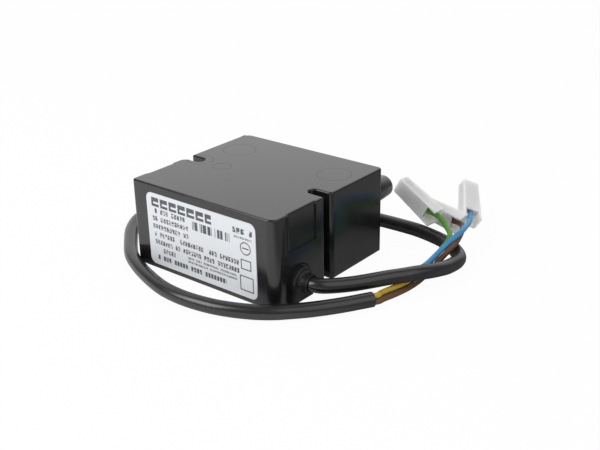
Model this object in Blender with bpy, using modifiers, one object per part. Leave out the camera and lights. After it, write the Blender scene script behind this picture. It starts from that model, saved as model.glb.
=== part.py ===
"""Ignition transformer for an oil or gas burner.

A moulded case open at its underside is filled with resin round a circuit board, a ferrite core with
one primary and two secondary windings, and two high-voltage contacts. A three-core mains cord leaves a
strain relief near the bottom of the right face, lies round the case and ends in three connectors.

Sizes are in millimetres and become metres in the shape functions. +X is the cord's face, -Y the label's
face, +Z up, and the origin is the middle of the underside.
"""

import math

import bmesh
import bpy
import numpy as np
from mathutils import Matrix, Vector

MM = 0.001
CLEARANCE = 0.3

# Case
CASE_WIDTH = 91.2
CASE_DEPTH = 85.0
CASE_HEIGHT = 45.0
CASE_WALL = 2.2
CASE_ROOF = 2.5
CASE_ROUND_CORNER = 5.0
CASE_TIGHT_CORNER = 1.5
INNER_CORNER_RADIUS = 1.0
CASE_TOP_ROUND = 0.9

# Fixing slots, one in each side face
SLOT_WIDTH = 5.7
SLOT_DEPTH = 11.1
SLOT_Y = -3.2
SLOT_WALL = 2.0

# Shallow panels above a ledge on both side faces
PANEL_RECESS = 0.7
PANEL_LEDGE_Z = 26.0
PANEL_CORNER_RADIUS = 4.0
PANEL_END_Y = 33.5
SLOT_PAD_WIDTH = 6.1

# High-voltage outlets on the back face
TOWER_SIDE_DISTANCE = 8.0
TOWER_TOP_DISTANCE = 15.4
TOWER_RADIUS = 5.7
TOWER_LENGTH = 13.0
TOWER_BORE_RADIUS = 3.2
TOWER_FLOOR = 2.5
CONTACT_RADIUS = 1.3
CONTACT_RECESS = 1.5
CONTACT_FLANGE_RADIUS = 2.6
CONTACT_FLANGE_THICKNESS = 1.6

# Rating label on the front face
LABEL_LEFT_MARGIN = 9.8
LABEL_RIGHT_MARGIN = 10.8
LABEL_TOP_MARGIN = 4.15
LABEL_BOTTOM_MARGIN = 2.55
LABEL_THICKNESS = 0.25
LABEL_CORNER_RADIUS = 3.5

# Mains cord, its three cores and its strain relief
CORD_DIAMETER = 7.2
CORE_DIAMETER = 2.2
CORE_SPREAD = 1.45
CORE_START_GAP = 0.55
CORD_EXIT_Y = -25.4
CORD_EXIT_Z = 9.9
FLANGE_HALF_WIDTH = 7.1
FLANGE_THICKNESS = 2.7
COLLAR_RADIUS = 4.7
COLLAR_LENGTH = 4.7
NECK_HALF_WIDTH = 5.6
INNER_FLANGE_THICKNESS = 1.7

# Resin and circuit board
RESIN_BOTTOM_Z = 0.0
RESIN_FLOOR = 4.7
RESIN_WALL = 1.9
RESIN_OVER_BUSH = 2.0
BOARD_THICKNESS = 1.6
LEAD_DIAMETER = 0.9
LEAD_HOLE_CLEARANCE = 0.25

# Ferrite core and its bobbins
LEG_RADIUS = 4.75
LEG_SPACING = 20.0
BAR_THICKNESS = 9.5
BAR_HALF_HEIGHT = 6.0
BAR_SLOT_DISTANCE = 4.6
BOBBIN_RESIN_GAP = 0.5
CORE_GAP = 0.4
BOBBIN_WALL = 1.1
SECONDARY_FLANGE_RADIUS = 11.4
SECONDARY_FLANGE_THICKNESS = 1.0
SECONDARY_CHAMBER_PITCH = 4.7
SECONDARY_WINDING_RADIUS = 10.4
PRIMARY_FLANGE_RADIUS = 7.9
PRIMARY_FLANGE_THICKNESS = 1.2
PRIMARY_WINDING_RADIUS = 7.2
HV_LEAD_DIAMETER = 1.8
WINDING_NOTCH_HALF_WIDTH = 1.5
WINDING_BRIDGE_HALF_WIDTH = 1.1
WINDING_BRIDGE_HEIGHT = 1.5
WINDING_NOTCH_END = 1.2
WINDING_BRIDGE_END = 2.2

# Parts on the circuit board: Y is measured from its front edge
BOX_CORNER_RADIUS = 1.0
BOX_TOP_ROUND = 0.6
BOX_CAPACITORS = [
    ("suppression_capacitor", "suppressor", (-23.0, 16.0), (9.0, 4.0), 15.0, 7.5),
    ("discharge_capacitor", "film", (3.0, 16.0), (13.0, 5.0), 19.0, 11.0),
]
VARISTOR_PLACE = (26.0, 21.0)
VARISTOR_RADIUS = 5.0
VARISTOR_THICKNESS = 4.0
VARISTOR_ROUND = 0.8
VARISTOR_LEAD_OFFSET = 2.5
THYRISTOR_PLACE = (10.0, 2.6)
THYRISTOR_HALF_WIDTH = 5.0
THYRISTOR_DEPTH = 4.4
THYRISTOR_BODY_HEIGHT = 9.0
THYRISTOR_TAB_HEIGHT = 15.0
THYRISTOR_TAB_THICKNESS = 1.3
THYRISTOR_HOLE_HEIGHT = 12.5
THYRISTOR_HOLE_RADIUS = 1.9
THYRISTOR_LEG_PITCH = 2.54
AXIAL_PARTS = [
    ("rectifier_diode_1", "component", (-4.0, 8.3), 1.6, 6.0, 11.0),
    ("rectifier_diode_2", "component", (-4.0, 3.8), 1.6, 6.0, 11.0),
    ("limiting_resistor", "resistor", (-21.0, 6.8), 2.5, 13.0, 18.0),
]
AXIAL_END_CHAMFER = 0.4

# Insulated connectors on the cores
HOUSING_LENGTH = 27.0
HOUSING_MOUTH_WIDTH = 9.2
HOUSING_MOUTH_THICKNESS = 6.2
HOUSING_FLARE_WIDTH = 1.6
HOUSING_FLARE_THICKNESS = 2.0
HOUSING_WALL = 1.2
HOUSING_EDGE_RADIUS = 0.8
WIRE_BAY_LENGTH = 5.5
CAVITY_WIDTH = 8.0
CAVITY_THICKNESS = 3.4
MOUTH_WIDTH = 7.4
MOUTH_THICKNESS = 2.4
WIRE_SLIT_WIDTH = 7.6
WIRE_SLIT_THICKNESS = 3.0
TERMINAL_WIDTH = 7.2
TERMINAL_THICKNESS = 2.6
TERMINAL_LENGTH = 8.6
TERMINAL_SHEET = 0.5
TERMINAL_STEP_DISTANCE = 6.0
CRIMP_LENGTH = 5.0
CRIMP_RADIUS = 1.25

# Where each connector lies: its middle, the way its mouth points, and the way its width runs
CONNECTOR_POSES = {
    "earth": ((49.5, 69.6, 19.1), (-0.873, 0.109, 0.475), (0.476, -0.013, 0.879)),
    "brown": ((57.5, 80.2, 9.7), (-0.972, -0.02, 0.235), (0.235, -0.05, 0.97)),
    "blue": ((64.2, 99.5, 11.9), (-0.511, 0.769, 0.385), (0.652, 0.638, -0.409)),
}

# The cord's route from inside the bush, round the case, to the end of its jacket
CORD_ROUTE = [
    (54.4, -25.4, 9.9), (57.6, -24.0, 9.8), (60.5, -20.8, 9.5), (63.7, -16.7, 9.2), (67.1, -12.0, 9.0),
    (70.4, -7.1, 9.0), (73.6, -1.9, 9.0), (76.8, 3.3, 9.0), (80.3, 8.1, 9.0), (83.4, 13.6, 8.8),
    (86.8, 22.4, 7.6), (88.1, 29.6, 6.2), (88.5, 36.5, 4.8), (88.2, 45.6, 3.9), (85.6, 52.0, 3.7),
    (78.7, 58.3, 3.65), (68.6, 63.4, 3.65), (53.5, 66.7, 3.65), (40.7, 67.0, 3.65), (29.1, 66.4, 3.65),
    (10.6, 65.0, 3.65), (-14.4, 61.5, 3.65), (-39.4, 53.0, 3.65), (-59.4, 39.0, 3.65),
    (-73.4, 20.0, 3.65), (-80.4, 3.0, 3.65), (-79.8, -10.0, 3.65), (-72.6, -22.4, 3.65),
    (-61.6, -33.5, 3.65), (-48.5, -44.8, 3.65), (-36.1, -51.7, 3.65), (-23.4, -56.9, 3.65),
    (-10.1, -61.0, 3.65), (0.6, -62.4, 3.65), (9.9, -62.3, 3.65), (18.3, -61.2, 3.65),
    (25.7, -59.5, 3.65), (32.5, -57.1, 3.65), (38.8, -54.2, 3.65), (43.7, -51.4, 3.65),
    (49.1, -47.4, 3.65), (53.8, -42.8, 3.65), (58.6, -37.8, 3.65), (62.4, -33.2, 3.65),
    (65.8, -28.7, 3.65), (69.1, -24.0, 3.65), (72.2, -19.1, 3.65), (77.1, -11.0, 3.65),
]

# Each core's route from the jacket's end, under the first run of the cord, over its second
CORE_ROUTES = {
    "green_yellow": [
        (76.8, -3.5, 3.9), (77.5, 2.5, 3.7), (81.3, 8.8, 3.8), (80.8, 15.0, 3.8), (78.7, 20.0, 3.8),
        (76.3, 25.0, 3.4), (75.5, 30.0, 1.6), (75.7, 36.0, 1.2), (75.7, 44.0, 2.3), (76.5, 50.4, 5.6),
        (77.3, 55.7, 9.0), (74.9, 60.6, 10.4), (70.1, 64.9, 11.5), (65.3, 67.7, 13.5), (60.2, 68.6, 14.8),
    ],
    "brown": [
        (79.7, -6.4, 3.0), (79.5, -2.0, 1.5), (79.6, 4.0, 1.2), (80.5, 12.0, 1.2), (81.1, 20.6, 1.2),
        (80.5, 30.0, 1.2), (79.6, 38.0, 1.4), (79.4, 43.9, 2.6), (82.5, 47.4, 6.3), (83.6, 52.8, 9.6),
        (80.0, 63.4, 9.7), (74.8, 74.0, 8.7), (70.2, 78.6, 7.9),
    ],
    "blue": [
        (76.5, -6.4, 1.5), (75.5, -1.5, 1.2), (76.2, 5.0, 1.2), (77.6, 14.0, 1.2), (78.5, 20.0, 1.2),
        (78.3, 25.0, 1.3), (78.1, 30.0, 2.3), (77.6, 36.0, 3.6), (77.6, 43.3, 4.9), (78.6, 50.0, 7.6),
        (81.7, 55.6, 12.2), (80.8, 63.4, 12.6), (76.2, 78.0, 10.8), (71.6, 87.6, 9.6),
    ],
}

CORE_OFFSETS = {"green_yellow": 150.0, "brown": 30.0, "blue": 270.0}
CORE_CONNECTORS = {"green_yellow": "earth", "brown": "brown", "blue": "blue"}

COLOURS = {
    "case": (0.012, 0.012, 0.013, 0.35, 0.0),
    "label": (0.82, 0.83, 0.84, 0.6, 0.0),
    "rubber": (0.02, 0.02, 0.02, 0.55, 0.0),
    "resin": (0.03, 0.025, 0.02, 0.5, 0.0),
    "board": (0.05, 0.17, 0.06, 0.5, 0.0),
    "ferrite": (0.05, 0.05, 0.055, 0.6, 0.1),
    "bobbin": (0.55, 0.5, 0.4, 0.5, 0.0),
    "copper": (0.72, 0.36, 0.16, 0.35, 0.9),
    "brass": (0.78, 0.6, 0.27, 0.3, 1.0),
    "nylon": (0.85, 0.85, 0.82, 0.45, 0.0),
    "brown": (0.16, 0.07, 0.035, 0.45, 0.0),
    "blue": (0.05, 0.3, 0.62, 0.45, 0.0),
    "green_yellow": (0.2, 0.4, 0.05, 0.45, 0.0),
    "film": (0.55, 0.08, 0.05, 0.4, 0.0),
    "suppressor": (0.75, 0.6, 0.1, 0.45, 0.0),
    "disc": (0.03, 0.12, 0.35, 0.45, 0.0),
    "component": (0.02, 0.02, 0.022, 0.4, 0.0),
    "resistor": (0.5, 0.42, 0.3, 0.5, 0.0),
    "lead": (0.1, 0.02, 0.02, 0.45, 0.0),
}

# Worked out from the sizes above
HALF_WIDTH = CASE_WIDTH / 2
HALF_DEPTH = CASE_DEPTH / 2
TOWER_X = HALF_WIDTH - TOWER_SIDE_DISTANCE
TOWER_Z = CASE_HEIGHT - TOWER_TOP_DISTANCE
LABEL_WIDTH = CASE_WIDTH - LABEL_LEFT_MARGIN - LABEL_RIGHT_MARGIN
LABEL_HEIGHT = CASE_HEIGHT - LABEL_TOP_MARGIN - LABEL_BOTTOM_MARGIN
LABEL_X = (LABEL_LEFT_MARGIN - LABEL_RIGHT_MARGIN) / 2
LABEL_Z = LABEL_BOTTOM_MARGIN + LABEL_HEIGHT / 2
CAVITY_HALF_X = HALF_WIDTH - CASE_WALL
CAVITY_HALF_Y = HALF_DEPTH - CASE_WALL
CAVITY_TOP_Z = CASE_HEIGHT - CASE_ROOF
SLOT_HALF = SLOT_WIDTH / 2
SLOT_ARC_X = HALF_WIDTH - SLOT_DEPTH + SLOT_HALF
RESIN_TOP_Z = RESIN_BOTTOM_Z + RESIN_FLOOR
RESIN_WALL_TOP_Z = CORD_EXIT_Z + FLANGE_HALF_WIDTH + RESIN_OVER_BUSH
BOARD_BOTTOM_Z = RESIN_TOP_Z + CLEARANCE
BOARD_TOP_Z = BOARD_BOTTOM_Z + BOARD_THICKNESS
PART_SEAT_Z = BOARD_TOP_Z + CLEARANCE
BOARD_INSET = CASE_WALL + CLEARANCE + RESIN_WALL + CLEARANCE
BOARD_HALF_X = HALF_WIDTH - BOARD_INSET
BOARD_FRONT_Y = BOARD_INSET - HALF_DEPTH
CORE_Z = BOARD_TOP_Z + CLEARANCE + SECONDARY_FLANGE_RADIUS
BOBBIN_BACK_Y = CAVITY_HALF_Y - CLEARANCE - RESIN_WALL - BOBBIN_RESIN_GAP
BACK_LEG_Y = BOBBIN_BACK_Y - SECONDARY_FLANGE_RADIUS
FRONT_LEG_Y = BACK_LEG_Y - LEG_SPACING
BAR_INNER_X = HALF_WIDTH - SLOT_DEPTH - BAR_SLOT_DISTANCE - BAR_THICKNESS
BOBBIN_BORE_RADIUS = LEG_RADIUS + CLEARANCE
BOBBIN_TUBE_RADIUS = BOBBIN_BORE_RADIUS + BOBBIN_WALL
SECONDARY_LENGTH = BAR_INNER_X - 2 * CLEARANCE
SECONDARY_CHAMBERS = round((SECONDARY_LENGTH - SECONDARY_FLANGE_THICKNESS) / SECONDARY_CHAMBER_PITCH)
JACKET_START_X = CAVITY_HALF_X - CLEARANCE - INNER_FLANGE_THICKNESS
FLANGE_FACE_X = HALF_WIDTH + CLEARANCE + FLANGE_THICKNESS
HOUSING_WIRE_WIDTH = HOUSING_MOUTH_WIDTH + HOUSING_FLARE_WIDTH
HOUSING_WIRE_THICKNESS = HOUSING_MOUTH_THICKNESS + HOUSING_FLARE_THICKNESS
HOUSING_FLAT_Z = -HOUSING_MOUTH_THICKNESS / 2
HOUSING_MOUTH_X = HOUSING_LENGTH / 2
HOUSING_STEP_X = -HOUSING_LENGTH / 2 + WIRE_BAY_LENGTH
TERMINAL_START_X = HOUSING_STEP_X + TERMINAL_STEP_DISTANCE

RIGHT_ANGLE = 90.0
ARC_STEPS = 5
ROUND_SIDES = 24
SMALL_SIDES = 10
INNER_SIDES = 20
AXIAL_SIDES = 16


def clear_scene():
    for old in list(bpy.data.objects):
        bpy.data.objects.remove(old, do_unlink=True)


def new_collection(name):
    collection = bpy.data.collections.new(name)
    bpy.context.scene.collection.children.link(collection)
    return collection


def material(name, colour_key):
    red, green, blue, roughness, metallic = COLOURS[colour_key]
    made = bpy.data.materials.new(name)
    made.use_nodes = True
    shader = made.node_tree.nodes["Principled BSDF"]
    shader.inputs["Base Color"].default_value = (red, green, blue, 1.0)
    shader.inputs["Roughness"].default_value = roughness
    shader.inputs["Metallic"].default_value = metallic
    made.diffuse_color = (red, green, blue, 1.0)
    return made


def metres(point):
    return Vector(point) * MM


def from_bmesh(name, bm):
    mesh = bpy.data.meshes.new(name)
    bmesh.ops.recalc_face_normals(bm, faces=bm.faces)
    bm.to_mesh(mesh)
    bm.free()
    return bpy.data.objects.new(name, mesh)


def block(name, low, high):
    """A box between two corners."""
    low, high = metres(low), metres(high)
    place = Matrix.Translation((low + high) / 2) @ Matrix.Diagonal((*(high - low), 1.0))
    bm = bmesh.new()
    bmesh.ops.create_cube(bm, size=1.0, matrix=place)
    return from_bmesh(name, bm)


def rod(name, start, end, radius, sides=ROUND_SIDES, end_radius=None):
    """A cylinder, or a cone, between the centres of its two ends."""
    start, end = metres(start), metres(end)
    turn = (end - start).to_track_quat("Z", "Y").to_matrix().to_4x4()
    place = Matrix.Translation((start + end) / 2) @ turn
    bm = bmesh.new()
    bmesh.ops.create_cone(
        bm,
        cap_ends=True,
        segments=sides,
        radius1=radius * MM,
        radius2=(radius if end_radius is None else end_radius) * MM,
        depth=(end - start).length,
        matrix=place,
    )
    return from_bmesh(name, bm)


def arc(centre, radius, start, end, steps=ARC_STEPS):
    angles = [math.radians(start + (end - start) * i / steps) for i in range(steps + 1)]
    return [(centre[0] + radius * math.cos(a), centre[1] + radius * math.sin(a)) for a in angles]


def rounded_rectangle(half_x, half_y, radius, centre=(0.0, 0.0)):
    points = []
    for number, (sign_x, sign_y) in enumerate(((1, 1), (-1, 1), (-1, -1), (1, -1))):
        corner = (centre[0] + sign_x * (half_x - radius), centre[1] + sign_y * (half_y - radius))
        points += arc(corner, radius, number * RIGHT_ANGLE, (number + 1) * RIGHT_ANGLE)
    return points


def slotted_outline(inset, slot_growth):
    """The case's outline from above, moved in by an inset, with its slots grown by a wall."""
    half_x, half_y = HALF_WIDTH - inset, HALF_DEPTH - inset
    slot_half = SLOT_HALF + slot_growth
    tight = max(CASE_TIGHT_CORNER - inset, INNER_CORNER_RADIUS)
    wide = max(CASE_ROUND_CORNER - inset, INNER_CORNER_RADIUS)
    points = []
    for side, front_radius, back_radius in ((1, wide, tight), (-1, tight, wide)):
        edge = arc((half_x - front_radius, -half_y + front_radius), front_radius, -RIGHT_ANGLE, 0)
        edge += [(half_x, SLOT_Y - slot_half)]
        edge += arc((SLOT_ARC_X, SLOT_Y), slot_half, 3 * RIGHT_ANGLE, RIGHT_ANGLE, 2 * ARC_STEPS)
        edge += [(half_x, SLOT_Y + slot_half)]
        edge += arc((half_x - back_radius, half_y - back_radius), back_radius, 0, RIGHT_ANGLE)
        points += edge if side > 0 else [(-x, y) for x, y in reversed(edge)]
    return points


def tombstone(half_width, arch_z, bottom_z):
    """A round-topped outline in the YZ plane, written as (y, z)."""
    arch = arc((CORD_EXIT_Y, arch_z), half_width, 0, 2 * RIGHT_ANGLE, 2 * ARC_STEPS)
    return [(CORD_EXIT_Y + half_width, bottom_z), *arch, (CORD_EXIT_Y - half_width, bottom_z)]


UPWARD = Matrix.Identity(4)
ALONG_X = Matrix(((0, 0, 1, 0), (1, 0, 0, 0), (0, 1, 0, 0), (0, 0, 0, 1)))
ALONG_Y = Matrix(((1, 0, 0, 0), (0, 0, -1, 0), (0, 1, 0, 0), (0, 0, 0, 1)))


def extruded(name, outline, low, high, turn=UPWARD):
    """A prism of a flat outline between two distances along its own Z, then turned."""
    curve = bpy.data.curves.new(name, "CURVE")
    curve.dimensions = "2D"
    curve.fill_mode = "BOTH"
    curve.extrude = (high - low) / 2 * MM
    spline = curve.splines.new("POLY")
    spline.points.add(len(outline) - 1)
    for point, (x, y) in zip(spline.points, outline):
        point.co = (x * MM, y * MM, 0.0, 1.0)
    spline.use_cyclic_u = True
    flat = bpy.data.objects.new(name, curve)
    lift = Matrix.Translation((0.0, 0.0, (low + high) / 2 * MM))
    return meshed(name, flat, turn @ lift, whole_caps=True)


def meshed(name, curve_object, place, whole_caps=False):
    """The curve's evaluated mesh in an object of its own: caps welded, and a flat outline's made whole."""
    bpy.context.scene.collection.objects.link(curve_object)
    bpy.context.view_layer.update()
    graph = bpy.context.evaluated_depsgraph_get()
    mesh = bpy.data.meshes.new_from_object(curve_object.evaluated_get(graph))
    bpy.data.objects.remove(curve_object, do_unlink=True)
    bm = bmesh.new()
    bm.from_mesh(mesh)
    bpy.data.meshes.remove(mesh)
    bmesh.ops.remove_doubles(bm, verts=bm.verts, dist=1e-6)
    if whole_caps:
        caps = [face for face in bm.faces if len({round(vert.co.z, 7) for vert in face.verts}) == 1]
        bmesh.ops.delete(bm, geom=caps, context="FACES")
        rims = [edge for edge in bm.edges if edge.is_boundary]
        bmesh.ops.holes_fill(bm, edges=rims, sides=0)
    bmesh.ops.transform(bm, matrix=place, verts=bm.verts)
    return from_bmesh(name, bm)


def smooth_route(points, spacing):
    """Points about one spacing apart on a Catmull-Rom curve through the given ones."""
    route = np.array(points, float)
    padded = np.vstack([2 * route[0] - route[1], route, 2 * route[-1] - route[-2]])
    fine = []
    steps = np.linspace(0.0, 1.0, 24, endpoint=False)[:, None]
    for before, start, end, after in zip(padded, padded[1:], padded[2:], padded[3:]):
        fine.append(
            0.5
            * (
                2 * start
                + (end - before) * steps
                + (2 * before - 5 * start + 4 * end - after) * steps**2
                + (3 * start - before - 3 * end + after) * steps**3
            )
        )
    fine = np.vstack([*fine, route[-1:]])
    walked = np.concatenate([[0.0], np.cumsum(np.linalg.norm(np.diff(fine, axis=0), axis=1))])
    count = max(2, round(walked[-1] / spacing) + 1)
    wanted = np.linspace(0.0, walked[-1], count)
    return np.column_stack([np.interp(wanted, walked, fine[:, axis]) for axis in range(3)])


def tube(name, points, diameter, resolution=2):
    curve = bpy.data.curves.new(name, "CURVE")
    curve.dimensions = "3D"
    curve.bevel_depth = diameter / 2 * MM
    curve.bevel_resolution = resolution
    curve.use_fill_caps = True
    spline = curve.splines.new("POLY")
    spline.points.add(len(points) - 1)
    for point, place in zip(spline.points, points):
        point.co = (*metres(place), 1.0)
    return bpy.data.objects.new(name, curve)


def turned(name, profile, axis_start, axis_way, sides=ROUND_SIDES):
    """A profile of (distance along the axis, radius) points, its ends on the axis or joined, spun round."""
    mesh = bpy.data.meshes.new(name)
    bm = bmesh.new()
    verts = [bm.verts.new((radius * MM, 0.0, along * MM)) for along, radius in profile]
    for first, second in zip(verts, verts[1:]):
        bm.edges.new((first, second))
    if profile[0][1] > 0:
        bm.edges.new((verts[-1], verts[0]))
    bm.to_mesh(mesh)
    bm.free()
    made = bpy.data.objects.new(name, mesh)
    screw = made.modifiers.new("turn", "SCREW")
    screw.steps = sides
    screw.render_steps = sides
    screw.use_merge_vertices = True
    screw.merge_threshold = 1e-6
    turn = Vector(axis_way).to_track_quat("Z", "Y").to_matrix().to_4x4()
    made.matrix_world = Matrix.Translation(metres(axis_start)) @ turn
    return made


class Assembly:
    """The named pieces, and the shapes that only cut or join them."""

    def __init__(self):
        self.parts = new_collection("ignition_transformer")
        self.helpers = new_collection("cutters")
        self.root = bpy.data.objects.new("ignition_transformer", None)
        self.parts.objects.link(self.root)

    def helper(self, made):
        self.helpers.objects.link(made)
        made.hide_render = True
        made.display_type = "WIRE"
        return made

    def change(self, target, other, operation):
        self.helper(other)
        boolean = target.modifiers.new(other.name, "BOOLEAN")
        boolean.operation = operation
        boolean.object = other

    def cut(self, target, *others):
        for other in others:
            self.change(target, other, "DIFFERENCE")

    def join(self, target, *others):
        for other in others:
            self.change(target, other, "UNION")

    def add(self, made, colour_key, place=None):
        if place is not None:
            made.matrix_world = place
        if not made.data.materials:
            made.data.materials.append(material(made.name, colour_key))
        self.parts.objects.link(made)
        made.parent = self.root
        if made.type == "MESH":
            made.data.shade_smooth()
            made.data.set_sharp_from_angle(angle=math.radians(35))
        return made


def rounded_top(name, outline, low, high, radius):
    """A prism whose top edge is rounded over."""
    made = extruded(name, outline, low, high)
    group = made.vertex_groups.new(name="top")
    group.add([v.index for v in made.data.vertices if v.co.z > (high - 0.01) * MM], 1.0, "REPLACE")
    bevel = made.modifiers.new("top_edge", "BEVEL")
    bevel.width = radius * MM
    bevel.segments = 2
    bevel.limit_method = "VGROUP"
    bevel.vertex_group = "top"
    triangles = made.modifiers.new("flat_triangles", "TRIANGULATE")
    triangles.ngon_method = "CLIP"
    return made


def build_case(assembly):
    case = rounded_top("case", slotted_outline(0.0, 0.0), 0.0, CASE_HEIGHT, CASE_TOP_ROUND)
    for side in (-1, 1):
        cut_side_panels(assembly, case, side)
        add_tower(assembly, case, side)
    notch = tombstone(NECK_HALF_WIDTH + CLEARANCE, CORD_EXIT_Z, -1.0)
    assembly.cut(case, extruded("cord_notch", notch, CAVITY_HALF_X - 1.0, HALF_WIDTH + 1.0, ALONG_X))
    cavity = slotted_outline(CASE_WALL, SLOT_WALL)
    assembly.cut(case, extruded("case_cavity", cavity, -1.0, CAVITY_TOP_Z))
    assembly.add(case, "case")


def cut_side_panels(assembly, case, side):
    """Lowers the upper part of a side face on both sides of its slot by the panel recess."""
    inner_x = side * (HALF_WIDTH - PANEL_RECESS)
    outer_x = side * (HALF_WIDTH + 1.0)
    half_height = CASE_HEIGHT - PANEL_LEDGE_Z
    slot_side_front = SLOT_Y - SLOT_HALF - SLOT_PAD_WIDTH
    slot_side_back = SLOT_Y + SLOT_HALF + SLOT_PAD_WIDTH
    spans = (("front", -PANEL_END_Y, slot_side_front), ("back", slot_side_back, PANEL_END_Y))
    for label, start, end in spans:
        outline = rounded_rectangle(
            (end - start) / 2, half_height, PANEL_CORNER_RADIUS, ((start + end) / 2, CASE_HEIGHT)
        )
        panel = extruded(
            f"panel_{label}_{side}", outline, min(inner_x, outer_x), max(inner_x, outer_x), ALONG_X
        )
        assembly.cut(case, panel)


def add_tower(assembly, case, side):
    x = side * TOWER_X
    end_y = HALF_DEPTH + TOWER_LENGTH
    base_y = HALF_DEPTH - CASE_WALL / 2
    tower = rod(f"tower_{side}", (x, base_y, TOWER_Z), (x, end_y, TOWER_Z), TOWER_RADIUS)
    floor_y = HALF_DEPTH + TOWER_FLOOR
    bore = rod(f"bore_{side}", (x, floor_y, TOWER_Z), (x, end_y + 1, TOWER_Z), TOWER_BORE_RADIUS)
    hole_radius = CONTACT_RADIUS + CLEARANCE
    hole = rod(f"pin_hole_{side}", (x, base_y - 2, TOWER_Z), (x, floor_y + 1, TOWER_Z), hole_radius)
    assembly.join(case, tower)
    assembly.cut(case, bore, hole)


def build_contacts(assembly):
    """Turned brass pins, each with a flange behind the case wall."""
    flange_end = CAVITY_HALF_Y - CLEARANCE
    flange_start = flange_end - CONTACT_FLANGE_THICKNESS
    pin_end = HALF_DEPTH + TOWER_LENGTH - CONTACT_RECESS
    length = pin_end - flange_start
    profile = [
        (length, 0.0),
        (length, CONTACT_RADIUS * 0.6),
        (length - 0.5, CONTACT_RADIUS),
        (CONTACT_FLANGE_THICKNESS, CONTACT_RADIUS),
        (CONTACT_FLANGE_THICKNESS, CONTACT_FLANGE_RADIUS),
        (0.0, CONTACT_FLANGE_RADIUS),
        (0.0, 0.0),
    ]
    for label, side in (("left", -1), ("right", 1)):
        start = (side * TOWER_X, flange_start, TOWER_Z)
        pin = turned(f"hv_contact_{label}", profile, start, (0, 1, 0), 20)
        assembly.add(pin, "brass")


def build_label(assembly):
    outline = rounded_rectangle(
        LABEL_WIDTH / 2, LABEL_HEIGHT / 2, LABEL_CORNER_RADIUS, (LABEL_X, LABEL_Z)
    )
    face = HALF_DEPTH + CLEARANCE
    label = extruded("rating_label", outline, face, face + LABEL_THICKNESS, ALONG_Y)
    assembly.add(label, "label")


def build_strain_relief(assembly):
    """A bush: outer flange and collar, a neck in the wall's notch, and an inner flange."""
    outer = tombstone(FLANGE_HALF_WIDTH, CORD_EXIT_Z, CLEARANCE)
    neck = tombstone(NECK_HALF_WIDTH, CORD_EXIT_Z, CLEARANCE)
    bush = extruded("strain_relief", outer, HALF_WIDTH + CLEARANCE, FLANGE_FACE_X, ALONG_X)
    inner_face = CAVITY_HALF_X - CLEARANCE
    through = extruded("bush_neck", neck, inner_face - 0.5, HALF_WIDTH + 1.0, ALONG_X)
    inner = extruded("bush_inner", outer, inner_face - INNER_FLANGE_THICKNESS, inner_face, ALONG_X)
    centre = (CORD_EXIT_Y, CORD_EXIT_Z)
    collar_end = FLANGE_FACE_X + COLLAR_LENGTH
    collar = rod("bush_collar", (FLANGE_FACE_X - 1, *centre), (collar_end, *centre), COLLAR_RADIUS)
    bore_start = (inner_face - INNER_FLANGE_THICKNESS - 1, *centre)
    bore = rod("bush_bore", bore_start, (collar_end + 1, *centre), CORD_DIAMETER / 2 + CLEARANCE)
    assembly.join(bush, through, inner, collar)
    assembly.cut(bush, bore)
    assembly.add(bush, "rubber")


def build_cord(assembly):
    inside = np.array([(JACKET_START_X, CORD_EXIT_Y, CORD_EXIT_Z)])
    route = np.vstack([inside, smooth_route(CORD_ROUTE, 1.35 * CORD_DIAMETER)])
    assembly.add(tube("mains_cord", route, CORD_DIAMETER, 3), "rubber")


def core_offset(core, way, up):
    """Where a core's centre lies beside the cord's centre line, in the jacket's section."""
    side = way.cross(up).normalized()
    angle = math.radians(CORE_OFFSETS[core])
    return (side * math.cos(angle) + up * math.sin(angle)) * CORE_SPREAD


def connector_matrix(connector):
    """The connector's place: its X runs from the wire's end to the mouth, its Y along its width."""
    centre, mouth_way, width_way = CONNECTOR_POSES[connector]
    along = Vector(mouth_way).normalized()
    out = along.cross(Vector(width_way)).normalized()
    across = out.cross(along)
    turn = Matrix((along, across, out)).transposed().to_4x4()
    return Matrix.Translation(metres(centre)) @ turn


def build_cores(assembly):
    jacket_end = Vector(CORD_ROUTE[-1])
    way = (jacket_end - Vector(CORD_ROUTE[-2])).normalized()
    way.z = 0.0
    way.normalize()
    for core, connector in CORE_CONNECTORS.items():
        offset = core_offset(core, way, Vector((0, 0, 1)))
        start = jacket_end + way * CORE_START_GAP + offset
        straight = start + way * 2.0
        place = connector_matrix(connector)
        entry = place @ metres((HOUSING_STEP_X, 0, 0)) / MM
        crimp = place @ metres((TERMINAL_START_X - CLEARANCE, 0, 0)) / MM
        points = [start, straight, *CORE_ROUTES[core], entry, crimp]
        route = smooth_route([tuple(p) for p in points], 1.9 * CORE_DIAMETER)
        assembly.add(tube(f"core_{core}", route, CORE_DIAMETER, 2), core)


def build_tails(assembly):
    """The cord's cores inside the case, from the jacket's inner end down to the board."""
    way = Vector((-1, 0, 0))
    for core in CORE_CONNECTORS:
        offset = core_offset(core, way, Vector((0, 0, 1)))
        start = Vector((JACKET_START_X - CLEARANCE, CORD_EXIT_Y, CORD_EXIT_Z)) + offset
        spread = offset.y * 2.0
        over = start + Vector((-3.0, spread * 0.4, 0.6))
        foot_x = BOARD_HALF_X - 7.0
        down = Vector((foot_x, start.y + spread, BOARD_TOP_Z + 3.2))
        foot = Vector((foot_x - 0.4, start.y + spread, BOARD_TOP_Z + CLEARANCE))
        if core == "blue":
            over = start + Vector((-2.5, 0, 0.1))
            down.z -= 0.4
        route = smooth_route([tuple(p) for p in (start, over, down, foot)], 1.2 * CORE_DIAMETER)
        assembly.add(tube(f"tail_{core}", route, CORE_DIAMETER * 0.9, 2), core)


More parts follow.
